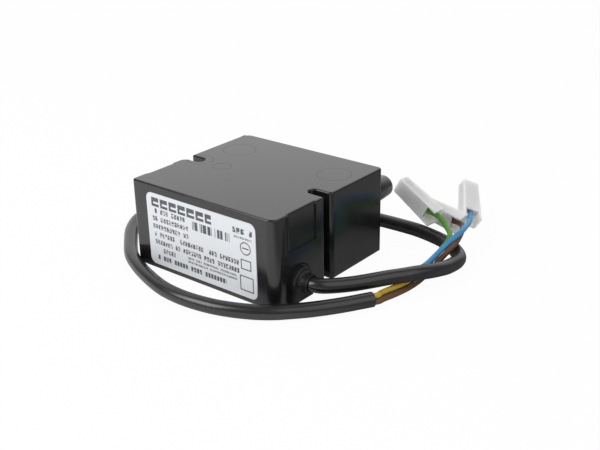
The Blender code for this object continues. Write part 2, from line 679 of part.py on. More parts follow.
def housing_body(name):
    """A body that narrows from the wire's end to the mouth on three sides; the fourth stays flat."""
    centre = (0.0, HOUSING_FLAT_Z + HOUSING_WIRE_THICKNESS / 2)
    section = rounded_rectangle(
        HOUSING_WIRE_WIDTH / 2, HOUSING_WIRE_THICKNESS / 2, HOUSING_EDGE_RADIUS, centre
    )
    body = extruded(name, section, -HOUSING_MOUTH_X, HOUSING_MOUTH_X, ALONG_X)
    flat = HOUSING_FLAT_Z * MM
    for vert in body.data.vertices:
        if vert.co.x > 0:
            vert.co.y *= HOUSING_MOUTH_WIDTH / HOUSING_WIRE_WIDTH
            vert.co.z = flat + (vert.co.z - flat) * HOUSING_MOUTH_THICKNESS / HOUSING_WIRE_THICKNESS
    return body


def housing_shape(assembly, name):
    """A connector housing with its cavity, mouth, wire slit and open wire bay, in its own frame."""
    body = housing_body(name)
    bay_share = WIRE_BAY_LENGTH / HOUSING_LENGTH
    bay_half_width = (HOUSING_WIRE_WIDTH - HOUSING_FLARE_WIDTH * bay_share) / 2 - HOUSING_WALL
    bay_thickness = HOUSING_WIRE_THICKNESS - HOUSING_FLARE_THICKNESS * bay_share - HOUSING_WALL
    cavity = block(
        f"{name}_cavity",
        (HOUSING_STEP_X + HOUSING_WALL, -CAVITY_WIDTH / 2, -CAVITY_THICKNESS / 2),
        (HOUSING_MOUTH_X - HOUSING_WALL, CAVITY_WIDTH / 2, CAVITY_THICKNESS / 2),
    )
    mouth = block(
        f"{name}_mouth",
        (HOUSING_MOUTH_X - HOUSING_WALL - 1, -MOUTH_WIDTH / 2, -MOUTH_THICKNESS / 2),
        (HOUSING_MOUTH_X + 1, MOUTH_WIDTH / 2, MOUTH_THICKNESS / 2),
    )
    slit = block(
        f"{name}_slit",
        (HOUSING_STEP_X - 1, -WIRE_SLIT_WIDTH / 2, -WIRE_SLIT_THICKNESS / 2),
        (HOUSING_STEP_X + HOUSING_WALL + 1, WIRE_SLIT_WIDTH / 2, WIRE_SLIT_THICKNESS / 2),
    )
    bay = block(
        f"{name}_bay",
        (-HOUSING_MOUTH_X - 1, -bay_half_width, HOUSING_FLAT_Z - 1),
        (HOUSING_STEP_X, bay_half_width, HOUSING_FLAT_Z + bay_thickness),
    )
    assembly.cut(body, cavity, mouth, slit, bay)
    return body


def terminal_shape(assembly, name):
    """A receptacle rolled from sheet: a flat sleeve with curled sides, and a crimp barrel behind it."""
    half_width = TERMINAL_WIDTH / 2
    half_thickness = TERMINAL_THICKNESS / 2
    sleeve_start = TERMINAL_START_X + CRIMP_LENGTH
    end = sleeve_start + TERMINAL_LENGTH
    section = rounded_rectangle(half_width, half_thickness, 0.9)
    sleeve = extruded(name, section, sleeve_start, end, ALONG_X)
    inside = rounded_rectangle(half_width - TERMINAL_SHEET, half_thickness - TERMINAL_SHEET, 0.5)
    bore = extruded(f"{name}_bore", inside, sleeve_start + 1.0, end + 1.0, ALONG_X)
    seam = block(f"{name}_seam", (sleeve_start + 1.0, -0.5, 0.0), (end + 1.0, 0.5, TERMINAL_THICKNESS))
    barrel_end = (sleeve_start + 0.6, 0, 0)
    barrel = rod(f"{name}_barrel", (TERMINAL_START_X, 0, 0), barrel_end, CRIMP_RADIUS, SMALL_SIDES)
    assembly.join(sleeve, barrel)
    assembly.cut(sleeve, bore, seam)
    return sleeve


def build_connectors(assembly):
    for connector in CONNECTOR_POSES:
        place = connector_matrix(connector)
        made = [
            (housing_shape(assembly, f"receptacle_housing_{connector}"), "nylon"),
            (terminal_shape(assembly, f"terminal_{connector}"), "brass"),
        ]
        for piece, colour_key in made:
            assembly.add(piece, colour_key, place)
            for modifier in piece.modifiers:
                modifier.object.matrix_world = place


def build_resin(assembly):
    """The fill: a floor that closes the underside, with a wall between the case and the board."""
    outline = slotted_outline(CASE_WALL + CLEARANCE, SLOT_WALL + CLEARANCE)
    resin = extruded("potting_resin", outline, RESIN_BOTTOM_Z, RESIN_WALL_TOP_Z)
    pocket = slotted_outline(BOARD_INSET - CLEARANCE, SLOT_WALL + RESIN_WALL + CLEARANCE)
    assembly.cut(resin, extruded("resin_pocket", pocket, RESIN_TOP_Z, RESIN_WALL_TOP_Z + 1))
    room = tombstone(FLANGE_HALF_WIDTH + CLEARANCE, CORD_EXIT_Z, -1.0)
    assembly.cut(resin, extruded("resin_bush_room", room, BOARD_HALF_X, HALF_WIDTH, ALONG_X))
    assembly.add(resin, "resin")


def lead(name, x, y, top_z):
    return rod(name, (x, y, BOARD_BOTTOM_Z), (x, y, top_z), LEAD_DIAMETER / 2, SMALL_SIDES)


def lead_hole(name, x, y):
    radius = LEAD_DIAMETER / 2 + LEAD_HOLE_CLEARANCE
    return rod(name, (x, y, BOARD_BOTTOM_Z - 1), (x, y, BOARD_TOP_Z + 1), radius, SMALL_SIDES)


def build_board(assembly, lead_places):
    outline = slotted_outline(BOARD_INSET, SLOT_WALL + RESIN_WALL + 2 * CLEARANCE)
    board = extruded("circuit_board", outline, BOARD_BOTTOM_Z, BOARD_TOP_Z)
    for number, (x, y) in enumerate(lead_places):
        assembly.cut(board, lead_hole(f"lead_hole_{number}", x, y))
    assembly.add(board, "board")


def build_box_capacitors(assembly):
    places = []
    for name, colour_key, (x, front_distance), (half_x, half_y), height, lead_offset in BOX_CAPACITORS:
        y = BOARD_FRONT_Y + front_distance
        outline = rounded_rectangle(half_x, half_y, BOX_CORNER_RADIUS, (x, y))
        box = rounded_top(name, outline, PART_SEAT_Z, PART_SEAT_Z + height, BOX_TOP_ROUND)
        for side in (-1, 1):
            lead_x = x + side * lead_offset
            assembly.join(box, lead(f"{name}_lead_{side}", lead_x, y, PART_SEAT_Z + 1))
            places.append((lead_x, y))
        assembly.add(box, colour_key)
    return places


def build_varistor(assembly):
    """A lacquered disc that stands on its two leads."""
    x, y = VARISTOR_PLACE[0], BOARD_FRONT_Y + VARISTOR_PLACE[1]
    centre_z = PART_SEAT_Z + VARISTOR_RADIUS
    half = VARISTOR_THICKNESS / 2
    disc = rod("varistor", (x, y - half, centre_z), (x, y + half, centre_z), VARISTOR_RADIUS, INNER_SIDES)
    edge = disc.modifiers.new("rounded_edge", "BEVEL")
    edge.width = VARISTOR_ROUND * MM
    edge.segments = 2
    edge.limit_method = "ANGLE"
    edge.angle_limit = math.radians(60)
    places = [(x + side * VARISTOR_LEAD_OFFSET, y) for side in (-1, 1)]
    for number, place in enumerate(places):
        assembly.join(disc, lead(f"varistor_lead_{number}", *place, centre_z))
    assembly.add(disc, "disc")
    return places


def build_thyristor(assembly):
    """An upright power package: plastic body, a tab with its hole, and three legs."""
    x, y = THYRISTOR_PLACE[0], BOARD_FRONT_Y + THYRISTOR_PLACE[1]
    left, right = x - THYRISTOR_HALF_WIDTH, x + THYRISTOR_HALF_WIDTH
    foot_z = PART_SEAT_Z
    body = block(
        "trigger_thyristor", (left, y, foot_z), (right, y + THYRISTOR_DEPTH, foot_z + THYRISTOR_BODY_HEIGHT)
    )
    tab = block(
        "thyristor_tab",
        (left, y, foot_z + THYRISTOR_BODY_HEIGHT / 2),
        (right, y + THYRISTOR_TAB_THICKNESS, foot_z + THYRISTOR_TAB_HEIGHT),
    )
    hole_z = foot_z + THYRISTOR_HOLE_HEIGHT
    hole = rod(
        "thyristor_hole", (x, y - 1, hole_z), (x, y + 3, hole_z), THYRISTOR_HOLE_RADIUS, ROUND_SIDES
    )
    places = [(x + step * THYRISTOR_LEG_PITCH, y + THYRISTOR_DEPTH / 2) for step in (-1, 0, 1)]
    legs = [lead(f"thyristor_leg_{n}", *place, foot_z + 1) for n, place in enumerate(places)]
    assembly.join(body, tab, *legs)
    assembly.cut(body, hole)
    assembly.add(body, "component")
    return places


def build_axial_part(assembly, name, colour_key, centre, body_radius, body_length, pitch):
    """A part that lies on the board with a bent lead at each end."""
    x, y = centre[0], BOARD_FRONT_Y + centre[1]
    z = PART_SEAT_Z + body_radius
    half = body_length / 2
    rim = body_radius - AXIAL_END_CHAMFER
    shoulder = half - AXIAL_END_CHAMFER
    profile = [
        (half, 0.0),
        (half, rim),
        (shoulder, body_radius),
        (-shoulder, body_radius),
        (-half, rim),
        (-half, 0.0),
    ]
    body = turned(name, profile, (x, y, z), (1, 0, 0), AXIAL_SIDES)
    places = []
    for side in (-1, 1):
        foot_x = x + side * pitch / 2
        wire = smooth_bend((x + side * (half - 1), y, z), (foot_x, y, z), (foot_x, y, BOARD_BOTTOM_Z))
        curve = tube(f"{name}_lead_{side}", wire, LEAD_DIAMETER, 1)
        assembly.join(body, meshed(f"{name}_lead_{side}", curve, UPWARD))
        places.append((foot_x, y))
    assembly.add(body, colour_key)
    return places


def smooth_bend(start, corner, end, radius=1.0):
    """A wire that turns one right corner on an arc."""
    start, corner, end = Vector(start), Vector(corner), Vector(end)
    back = (start - corner).normalized()
    on = (end - corner).normalized()
    centre = corner + (back + on) * radius
    steps = [math.radians(30 * i) for i in range(4)]
    bend = [centre - on * radius * math.cos(a) - back * radius * math.sin(a) for a in steps]
    return [start, *bend, end]


def build_axial_parts(assembly):
    return [place for part in AXIAL_PARTS for place in build_axial_part(assembly, *part)]


def build_ferrite(assembly):
    """Two facing U shapes with round legs."""
    for label, side in (("left", -1), ("right", 1)):
        inner, outer = side * BAR_INNER_X, side * (BAR_INNER_X + BAR_THICKNESS)
        low_y, high_y = FRONT_LEG_Y - LEG_RADIUS, BACK_LEG_Y + LEG_RADIUS
        outline = rounded_rectangle(
            BAR_THICKNESS / 2,
            (high_y - low_y) / 2,
            1.0,
            ((inner + outer) / 2, (low_y + high_y) / 2),
        )
        half = extruded(f"ferrite_core_{label}", outline, CORE_Z - BAR_HALF_HEIGHT, CORE_Z + BAR_HALF_HEIGHT)
        for place, y in (("front", FRONT_LEG_Y), ("back", BACK_LEG_Y)):
            leg = rod(
                f"leg_{place}_{label}",
                (side * CORE_GAP / 2, y, CORE_Z),
                (inner + side * 1.0, y, CORE_Z),
                LEG_RADIUS,
            )
            assembly.join(half, leg)
        assembly.add(half, "ferrite")


def bobbin_profile(length, flange_count, flange_radius, flange_thickness):
    """The section of a bobbin with evenly spaced flanges, from its far end to its near end."""
    pitch = (length - flange_thickness) / (flange_count - 1)
    profile = []
    for number in range(flange_count):
        top = length - number * pitch
        bottom = top - flange_thickness
        profile += [(top, flange_radius), (bottom, flange_radius)]
        if number < flange_count - 1:
            profile += [(bottom, BOBBIN_TUBE_RADIUS), (bottom - pitch + flange_thickness, BOBBIN_TUBE_RADIUS)]
    return [(length, BOBBIN_BORE_RADIUS), *profile, (0.0, BOBBIN_BORE_RADIUS)]


def build_secondaries(assembly):
    """Two bobbins on the back leg; each winding fills its chambers and crosses the flanges in a notch."""
    flanges = SECONDARY_CHAMBERS + 1
    pitch = (SECONDARY_LENGTH - SECONDARY_FLANGE_THICKNESS) / SECONDARY_CHAMBERS
    chamber = pitch - SECONDARY_FLANGE_THICKNESS
    bridge_low = BOBBIN_TUBE_RADIUS + WINDING_BRIDGE_HEIGHT
    bridge_high = bridge_low + WINDING_BRIDGE_HEIGHT
    for label, side in (("left", -1), ("right", 1)):
        start_x = side * CLEARANCE
        place = (start_x, BACK_LEG_Y, CORE_Z)
        profile = bobbin_profile(
            SECONDARY_LENGTH, flanges, SECONDARY_FLANGE_RADIUS, SECONDARY_FLANGE_THICKNESS
        )
        bobbin = turned(f"secondary_bobbin_{label}", profile, place, (side, 0, 0), INNER_SIDES)
        end_x = start_x + side * SECONDARY_LENGTH
        first, last = min(start_x, end_x), max(start_x, end_x)
        notch_end = WINDING_NOTCH_END - CLEARANCE
        notch_low = CORE_Z + bridge_low - CLEARANCE
        notch_high = CORE_Z + SECONDARY_FLANGE_RADIUS + 1
        notch = block(
            f"bobbin_notch_{label}",
            (first + notch_end, BACK_LEG_Y - WINDING_NOTCH_HALF_WIDTH, notch_low),
            (last - notch_end, BACK_LEG_Y + WINDING_NOTCH_HALF_WIDTH, notch_high),
        )
        assembly.cut(bobbin, notch)
        assembly.add(bobbin, "bobbin")
        bridge = block(
            f"secondary_winding_{label}",
            (first + WINDING_BRIDGE_END, BACK_LEG_Y - WINDING_BRIDGE_HALF_WIDTH, CORE_Z + bridge_low),
            (last - WINDING_BRIDGE_END, BACK_LEG_Y + WINDING_BRIDGE_HALF_WIDTH, CORE_Z + bridge_high),
        )
        for number in range(SECONDARY_CHAMBERS):
            low = SECONDARY_FLANGE_THICKNESS + number * pitch + CLEARANCE
            high = low + chamber - 2 * CLEARANCE
            inner = BOBBIN_TUBE_RADIUS + CLEARANCE
            ring = turned(
                f"winding_ring_{label}_{number}",
                [
                    (high, inner),
                    (high, SECONDARY_WINDING_RADIUS),
                    (low, SECONDARY_WINDING_RADIUS),
                    (low, inner),
                ],
                place,
                (side, 0, 0),
                INNER_SIDES,
            )
            assembly.join(bridge, ring)
        assembly.add(bridge, "copper")


def build_primary(assembly):
    """One long bobbin on the front legs, with a single-chamber winding."""
    half = SECONDARY_LENGTH + CLEARANCE
    place = (-half, FRONT_LEG_Y, CORE_Z)
    profile = bobbin_profile(2 * half, 2, PRIMARY_FLANGE_RADIUS, PRIMARY_FLANGE_THICKNESS)
    assembly.add(turned("primary_bobbin", profile, place, (1, 0, 0), INNER_SIDES), "bobbin")
    low = PRIMARY_FLANGE_THICKNESS + CLEARANCE
    high = 2 * half - low
    inner = BOBBIN_TUBE_RADIUS + CLEARANCE
    winding = [(high, inner), (high, PRIMARY_WINDING_RADIUS), (low, PRIMARY_WINDING_RADIUS), (low, inner)]
    assembly.add(turned("primary_winding", winding, place, (1, 0, 0), INNER_SIDES), "copper")


def build_hv_leads(assembly):
    """Insulated leads over the ends of the ferrite bars, from each secondary to its contact."""
    bar_top = CORE_Z + BAR_HALF_HEIGHT
    radius = HV_LEAD_DIAMETER / 2
    start_z = CORE_Z + SECONDARY_FLANGE_RADIUS + CLEARANCE + radius
    contact_back = CAVITY_HALF_Y - CLEARANCE - CONTACT_FLANGE_THICKNESS - CLEARANCE
    for label, side in (("left", -1), ("right", 1)):
        route = [
            (side * (SECONDARY_LENGTH - 1.5), BACK_LEG_Y + 3.2, start_z - 0.4),
            (side * (BAR_INNER_X + 4.0), BACK_LEG_Y + 3.4, max(start_z - 0.3, bar_top + 2)),
            (side * (TOWER_X - 4.0), BACK_LEG_Y + 4.2, TOWER_Z + 0.6),
            (side * TOWER_X, contact_back - 2.6, TOWER_Z),
            (side * TOWER_X, contact_back, TOWER_Z),
        ]
        lead_tube = tube(f"hv_lead_{label}", smooth_route(route, 2.4), HV_LEAD_DIAMETER, 1)
        assembly.add(lead_tube, "lead")


def main():
    clear_scene()
    assembly = Assembly()
    build_case(assembly)
    build_label(assembly)
    build_strain_relief(assembly)
    build_cord(assembly)
    build_cores(assembly)
    build_connectors(assembly)
    build_contacts(assembly)
    build_resin(assembly)
    places = build_box_capacitors(assembly)
    places += build_varistor(assembly)
    places += build_thyristor(assembly)
    places += build_axial_parts(assembly)
    build_board(assembly, places)
    build_tails(assembly)
    build_ferrite(assembly)
    build_secondaries(assembly)
    build_primary(assembly)
    build_hv_leads(assembly)
    bpy.context.view_layer.update()


main()
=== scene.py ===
"""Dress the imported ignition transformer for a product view.

The moulded case, its label, the cord bush, the mains cord with its three cores and the turned pins
are surfaces worked out with numpy; the connector housings and the pieces inside the case keep their
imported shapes. Lengths in the classes are millimetres and become metres when a mesh is made.
"""

import logging
import math
from collections.abc import Mapping, Sequence
from dataclasses import dataclass, field, replace
from enum import Enum
from functools import reduce

import bmesh
import bpy
import numpy as np
from bpy.types import Material, Node, NodeSocket, NodeTree, Object
from mathutils import Matrix, Vector


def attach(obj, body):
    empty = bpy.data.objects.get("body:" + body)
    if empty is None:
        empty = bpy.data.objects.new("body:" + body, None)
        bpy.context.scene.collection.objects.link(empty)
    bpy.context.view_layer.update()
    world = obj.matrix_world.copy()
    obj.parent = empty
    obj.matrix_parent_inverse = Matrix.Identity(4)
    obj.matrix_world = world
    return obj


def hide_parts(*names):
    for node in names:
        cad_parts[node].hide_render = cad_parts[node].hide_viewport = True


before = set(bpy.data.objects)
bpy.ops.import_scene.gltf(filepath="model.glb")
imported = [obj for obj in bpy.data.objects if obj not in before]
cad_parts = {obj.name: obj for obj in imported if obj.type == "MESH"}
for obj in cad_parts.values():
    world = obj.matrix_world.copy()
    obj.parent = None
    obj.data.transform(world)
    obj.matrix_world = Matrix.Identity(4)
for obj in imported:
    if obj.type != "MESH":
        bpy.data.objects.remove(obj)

LOG = logging.getLogger("ignition_transformer")
MM = 0.001
MERGE_DISTANCE = 1e-6
ORIGIN = (0.0, 0.0, 0.0)
UP = (0.0, 0.0, 1.0)
WHITE = (1.0, 1.0, 1.0, 1.0)
BLACK = (0.0, 0.0, 0.0, 1.0)
BODY = "root"

Point = tuple[float, float, float]
Colour = tuple[float, float, float]
Pair = tuple[float, float]
Pairs = tuple[Pair, ...]


@dataclass
class Surface:
    """A mesh in the making: its points in millimetres, its faces and any values kept at its points."""

    points: np.ndarray
    faces: list[list[int]]
    values: dict[str, np.ndarray] = field(default_factory=dict)


def grid_faces(rows: int, columns: int) -> list[list[int]]:
    """Quads between neighbouring loops of a grid whose columns close on themselves.

    Args:
        rows: Number of loops.
        columns: Points in each loop.

    Returns:
        One list of four indices for each quad.
    """
    row, column = np.meshgrid(np.arange(rows - 1), np.arange(columns), indexing="ij")
    start, after = row * columns, (column + 1) % columns
    quads = [start + column, start + after, start + columns + after, start + columns + column]
    return np.stack(quads, axis=-1).reshape(-1, 4).tolist()


def lofted(loops: np.ndarray) -> Surface:
    """Skin a stack of closed loops and close both ends with one face each.

    Args:
        loops: Array of shape (rows, columns, 3).

    Returns:
        The closed surface.
    """
    rows, columns = loops.shape[:2]
    faces = grid_faces(rows, columns)
    faces.append(list(range(columns))[::-1])
    faces.append(list(range((rows - 1) * columns, rows * columns)))
    return Surface(loops.reshape(-1, 3), faces)


def joined(surfaces: Sequence[Surface]) -> Surface:
    """Gather several surfaces in one mesh, shifting each one's face indices past the last.

    Args:
        surfaces: The surfaces. A number that only some of them keep at their points is 0 on the others.

    Returns:
        The one surface.
    """
    faces: list[list[int]] = []
    start = 0
    for surface in surfaces:
        faces += [[index + start for index in face] for face in surface.faces]
        start += len(surface.points)
    values = {
        name: np.concatenate([part.values.get(name, np.zeros(len(part.points))) for part in surfaces])
        for name in {name for surface in surfaces for name in surface.values}
    }
    return Surface(np.vstack([surface.points for surface in surfaces]), faces, values)


class Axis(Enum):
    """The axis that a turned piece is spun about, by the places that its coordinates move up."""

    X = 0
    Y = 1


def turned(profile: Sequence[Pair], start: Point, axis: Axis, sides: int) -> Surface:
    """Spin a profile about an axis along X or Y.

    Each point is the axis start, plus the distance along the axis, plus the radius times the cosine
    and sine of the angle in the two directions across the axis.

    Args:
        profile: (distance along the axis, radius) pairs.
        start: Point on the axis in millimetres.
        axis: The axis.
        sides: Points round the axis.

    Returns:
        The closed surface.
    """
    along, radius = np.array(profile, float).T
    angle = np.linspace(0.0, 2 * np.pi, sides, endpoint=False)
    run = np.repeat(along[:, None], sides, axis=1)
    first = radius[:, None] * np.cos(angle)
    second = radius[:, None] * np.sin(angle)
    return lofted(np.roll(np.stack([run, first, second], axis=-1), axis.value, axis=-1) + np.array(start))


def arc(centre: Pair, radius: float, start: float, end: float, steps: int) -> np.ndarray:
    """Points on a circle between two angles in degrees: centre plus radius times (cosine, sine)."""
    angle = np.radians(np.linspace(start, end, steps + 1))
    return np.column_stack([centre[0] + radius * np.cos(angle), centre[1] + radius * np.sin(angle)])


def rounded_rectangle(half_x: float, half_y: float, radius: float, steps: int = 10) -> np.ndarray:
    """Outline a rectangle about the origin whose four corners are quarter circles.

    Args:
        half_x: Half its width.
        half_y: Half its height.
        radius: Radius of its corners.
        steps: Pieces of each corner.

    Returns:
        The (x, y) points.
    """
    parts = []
    for sign_x, sign_y, start in ((1, 1, 0), (-1, 1, 90), (-1, -1, 180), (1, -1, 270)):
        corner = (sign_x * (half_x - radius), sign_y * (half_y - radius))
        parts.append(arc(corner, radius, start, start + 90, steps))
    return np.vstack(parts)


def unit(vectors: np.ndarray) -> np.ndarray:
    """Scale each vector to length 1."""
    return vectors / np.linalg.norm(vectors, axis=-1, keepdims=True)


def distance_along(path: np.ndarray) -> np.ndarray:
    """Distance walked along a path up to each of its points."""
    return np.concatenate([[0.0], np.cumsum(np.linalg.norm(np.diff(path, axis=0), axis=1))])


def smooth_route(points: Sequence[Sequence[float]], spacing: float) -> np.ndarray:
    """Follow a Catmull-Rom curve through the points at an even spacing.

    Args:
        points: The points that the curve passes through.
        spacing: Distance between neighbouring results in millimetres.

    Returns:
        An array of points.
    """
    route = np.array(points, float)
    padded = np.vstack([2 * route[0] - route[1], route, 2 * route[-1] - route[-2]])
    step = np.linspace(0.0, 1.0, 24, endpoint=False)[None, :, None]
    before, start, end, after = (padded[i : len(padded) - 3 + i, None, :] for i in range(4))
    fine = 0.5 * (
        2 * start
        + (end - before) * step
        + (2 * before - 5 * start + 4 * end - after) * step**2
        + (3 * start - before - 3 * end + after) * step**3
    )
    fine = np.vstack([fine.reshape(-1, 3), route[-1:]])
    walked = distance_along(fine)
    wanted = np.linspace(0.0, walked[-1], max(2, round(walked[-1] / spacing) + 1))
    return np.column_stack([np.interp(wanted, walked, fine[:, axis]) for axis in range(3)])


def swept(path: np.ndarray, sides: int, radius: float, ends: Sequence[Pair]) -> Surface:
    """Carry a circle along a path.

    The first direction across the path is its tangent crossed with straight up, the second is the
    first crossed with the tangent, and each point is the path plus the radius times the cosine and
    sine of the angle in those two. The surface keeps (cosine, sine, distance along) at each point.

    Args:
        path: Centre of each ring.
        sides: Points in each ring.
        radius: Radius of every ring before the last.
        ends: (distance past the path's end, radius) of each ring that takes the last one's place.

    Returns:
        The closed surface.
    """
    last = len(path) - 1
    order = [*range(last), *[last] * len(ends)]
    reach = np.array([0.0] * last + [past for past, _ in ends])
    radii = np.array([radius] * last + [wide for _, wide in ends])
    tangent = unit(np.gradient(path, axis=0)[order])
    across = unit(np.cross(tangent, UP))
    over = np.cross(across, tangent)
    angle = np.linspace(0.0, 2 * np.pi, sides, endpoint=False)
    cosine, sine = np.cos(angle)[None, :, None], np.sin(angle)[None, :, None]
    ring = across[:, None] * cosine + over[:, None] * sine
    centre = path[order] + tangent * reach[:, None]
    surface = lofted(centre[:, None] + ring * radii[:, None, None])
    walked = distance_along(path[order])[:, None]
    section = np.stack(np.broadcast_arrays(cosine[..., 0], sine[..., 0], walked), axis=-1)
    surface.values["section"] = section.reshape(-1, 3)
    return surface


def piece(name: str, surface: Surface, material: Material, nodes: Sequence[str]) -> Object:
    """Make an object of a surface, dress it and let it ride on the part.

    Args:
        name: Object name.
        surface: Its shape in millimetres.
        material: Its finish.
        nodes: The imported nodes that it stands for.

    Returns:
        The object.
    """
    mesh = bpy.data.meshes.new(name)
    mesh.from_pydata((surface.points * MM).tolist(), [], surface.faces)
    mesh.update()
    for label, values in surface.values.items():
        kind, part = ("FLOAT", "value") if values.ndim == 1 else ("FLOAT_VECTOR", "vector")
        stored = mesh.attributes.new(label, kind, "POINT")
        stored.data.foreach_set(part, values.astype(np.float32).ravel())
    clean = bmesh.new()
    clean.from_mesh(mesh)
    bmesh.ops.remove_doubles(clean, verts=clean.verts, dist=MERGE_DISTANCE)
    bmesh.ops.recalc_face_normals(clean, faces=clean.faces)
    clean.to_mesh(mesh)
    clean.free()
    return finish_piece(bpy.data.objects.new(name, mesh), material, nodes)


def finish_piece(
    made: Object, material: Material, nodes: Sequence[str], crease: float = 40.0
) -> Object:
    """Link, shade, dress and place an object on the part's body.

    Args:
        made: The object.
        material: Its finish.
        nodes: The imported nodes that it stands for.
        crease: Angle in degrees past which an edge stays sharp.

    Returns:
        The same object.
    """
    bpy.context.scene.collection.objects.link(made)
    made.data.materials.clear()
    made.data.materials.append(material)
    made.data.shade_smooth()
    made.data.set_sharp_from_angle(angle=math.radians(crease))
    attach(made, BODY)
    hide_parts(*nodes)
    LOG.info("%s: %d faces", made.name, len(made.data.polygons))
    return made


def softened_copy(node: str, width: float, material: Material) -> Object:
    """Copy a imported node, merge its loose triangles into flat faces and round its edges.

    Args:
        node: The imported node.
        width: Size of the rounding in millimetres.
        material: Its finish.

    Returns:
        The new object, which stands for the node.
    """
    mesh = bpy.data.objects[node].data.copy()
    clean = bmesh.new()
    clean.from_mesh(mesh)
    bmesh.ops.remove_doubles(clean, verts=clean.verts, dist=MERGE_DISTANCE)
    bmesh.ops.dissolve_limit(
        clean, angle_limit=math.radians(1.0), verts=clean.verts, edges=clean.edges
    )
    clean.to_mesh(mesh)
    clean.free()
    made = bpy.data.objects.new(f"{node}_shape", mesh)
    bevel = made.modifiers.new("rounded_edges", "BEVEL")
    bevel.width = width * MM
    bevel.segments = 2
    bevel.limit_method = "ANGLE"
    bevel.angle_limit = math.radians(30)
    return finish_piece(made, material, [node], 50.0)


class Tree:
    """Shorthand for placing and linking nodes in a material or a group."""

    def __init__(self, tree: NodeTree) -> None:
        """Keep the tree that the nodes go into."""
        self.tree = tree

    def feed(self, node: Node, values: Mapping[str | int, object]) -> None:
        """Give a node's inputs, by name or number, plain values or the sockets that feed them."""
        for key, value in values.items():
            if isinstance(value, NodeSocket):
                self.tree.links.new(value, node.inputs[key])
            else:
                node.inputs[key].default_value = value

    def add(self, kind: str, values: Mapping[str | int, object] | None = None, **settings: object) -> Node:
        """Place a node.

        Args:
            kind: The node's type, without its ShaderNode prefix.
            values: Input name or number to a plain value or to the socket that feeds it.
            **settings: Properties of the node.

        Returns:
            The node.
        """
        made = self.tree.nodes.new(f"ShaderNode{kind}")
        for name, value in settings.items():
            setattr(made, name, value)
        self.feed(made, values or {})
        return made

    def math(self, operation: str, first: object, second: object = 0.0, third: object = 0.0) -> NodeSocket:
        """Place a Math node of up to three inputs and return its result."""
        return self.add("Math", {0: first, 1: second, 2: third}, operation=operation).outputs[0]

    def chain(self, operation: str, *values: object) -> object:
        """Join any number of values by one operation and return the result."""
        return reduce(lambda total, value: self.math(operation, total, value), values)

    def rest(self, value: object) -> NodeSocket:
        """Return 1 less the value."""
        return self.math("SUBTRACT", 1.0, value)

    def vector(self, kind: str, first: object, second: object = ORIGIN, out: str = "Vector") -> NodeSocket:
        """Place a Vector Math node of up to two inputs and return its result."""
        return self.add("VectorMath", {0: first, 1: second}, operation=kind).outputs[out]

    def blend(self, factor: object, first: object, second: object) -> NodeSocket:
        """Mix two colours by a factor and return the result."""
        return self.add("Mix", {0: factor, 6: first, 7: second}, data_type="RGBA").outputs[2]

    def between(self, value: object, low: float, high: float) -> NodeSocket:
        """Rise smoothly from 0 to 1 as the value goes from low to high."""
        values = {0: value, 1: low, 2: high, 3: 0.0, 4: 1.0}
        return self.add("MapRange", values, interpolation_type="SMOOTHSTEP").outputs[0]

    def place(self) -> NodeSocket:
        """Return the place on the object, in metres."""
        return self.add("TexCoord").outputs["Object"]

    def parts(self, vector: NodeSocket) -> Sequence[NodeSocket]:
        """Return the three parts of a vector."""
        return self.add("SeparateXYZ", {0: vector}).outputs

    def noise(self, scale: object, detail: float) -> NodeSocket:
        """Return soft noise over the object."""
        return self.add("TexNoise", {"Vector": self.place(), "Scale": scale, "Detail": detail}).outputs[0]

    def random(self, seed: NodeSocket, kind: str = "Vector", dimensions: str = "3D") -> NodeSocket:
        """Return a random number from 0 to 1 for each seed."""
        return self.add("TexWhiteNoise", {kind: seed}, noise_dimensions=dimensions).outputs[0]

    def bump(self, height: NodeSocket, distance: float) -> NodeSocket:
        """Return the normal of a surface raised by a height times a distance in metres."""
        return self.add("Bump", {"Height": height, "Strength": 1.0, "Distance": distance}).outputs[0]

    def group(self, group: NodeTree, values: Mapping[str | int, object]) -> Mapping[str | int, NodeSocket]:
        """Place a shared group with its own values and return its outputs."""
        return self.add("Group", values, node_tree=group).outputs


def open_group(
    name: str, inputs: Mapping[str, str], outputs: Mapping[str, str]
) -> tuple[Tree, Mapping[str, NodeSocket], Node]:
    """Start a shader node group.

    Args:
        name: Its name.
        inputs: Socket name to socket kind, such as "Float", "Color" or "Vector".
        outputs: The same for what it puts out.

    Returns:
        The tree, the sockets that bring the inputs and the node that takes the outputs.
    """
    group = bpy.data.node_groups.new(name, "ShaderNodeTree")
    for way, sockets in (("INPUT", inputs), ("OUTPUT", outputs)):
        for label, kind in sockets.items():
            group.interface.new_socket(name=label, in_out=way, socket_type=f"NodeSocket{kind}")
    return Tree(group), group.nodes.new("NodeGroupInput").outputs, group.nodes.new("NodeGroupOutput")


def moulded_group() -> NodeTree:
    """Build the grain of a moulded surface.

    Fine noise gives the height, broad noise shifts the colour between two tones and the roughness
    about its middle.

    Returns:
        The group, with inputs Tone, Second Tone, Roughness, Grain and Patches.
    """
    tree, given, out = open_group(
        "moulded_surface",
        {"Tone": "Color", "Second Tone": "Color", "Roughness": "Float", "Grain": "Float", "Patches": "Float"},
        {"Color": "Color", "Roughness": "Float", "Height": "Float"},
    )
    broad = tree.noise(given["Patches"], 4.0)
    spread = tree.math("MULTIPLY_ADD", broad, 0.1, -0.05)
    values = {
        "Color": tree.blend(tree.between(broad, 0.35, 0.7), given["Tone"], given["Second Tone"]),
        "Roughness": tree.math("ADD", given["Roughness"], spread),
        "Height": tree.noise(given["Grain"], 3.0),
    }
    tree.feed(out, values)
    return tree.tree


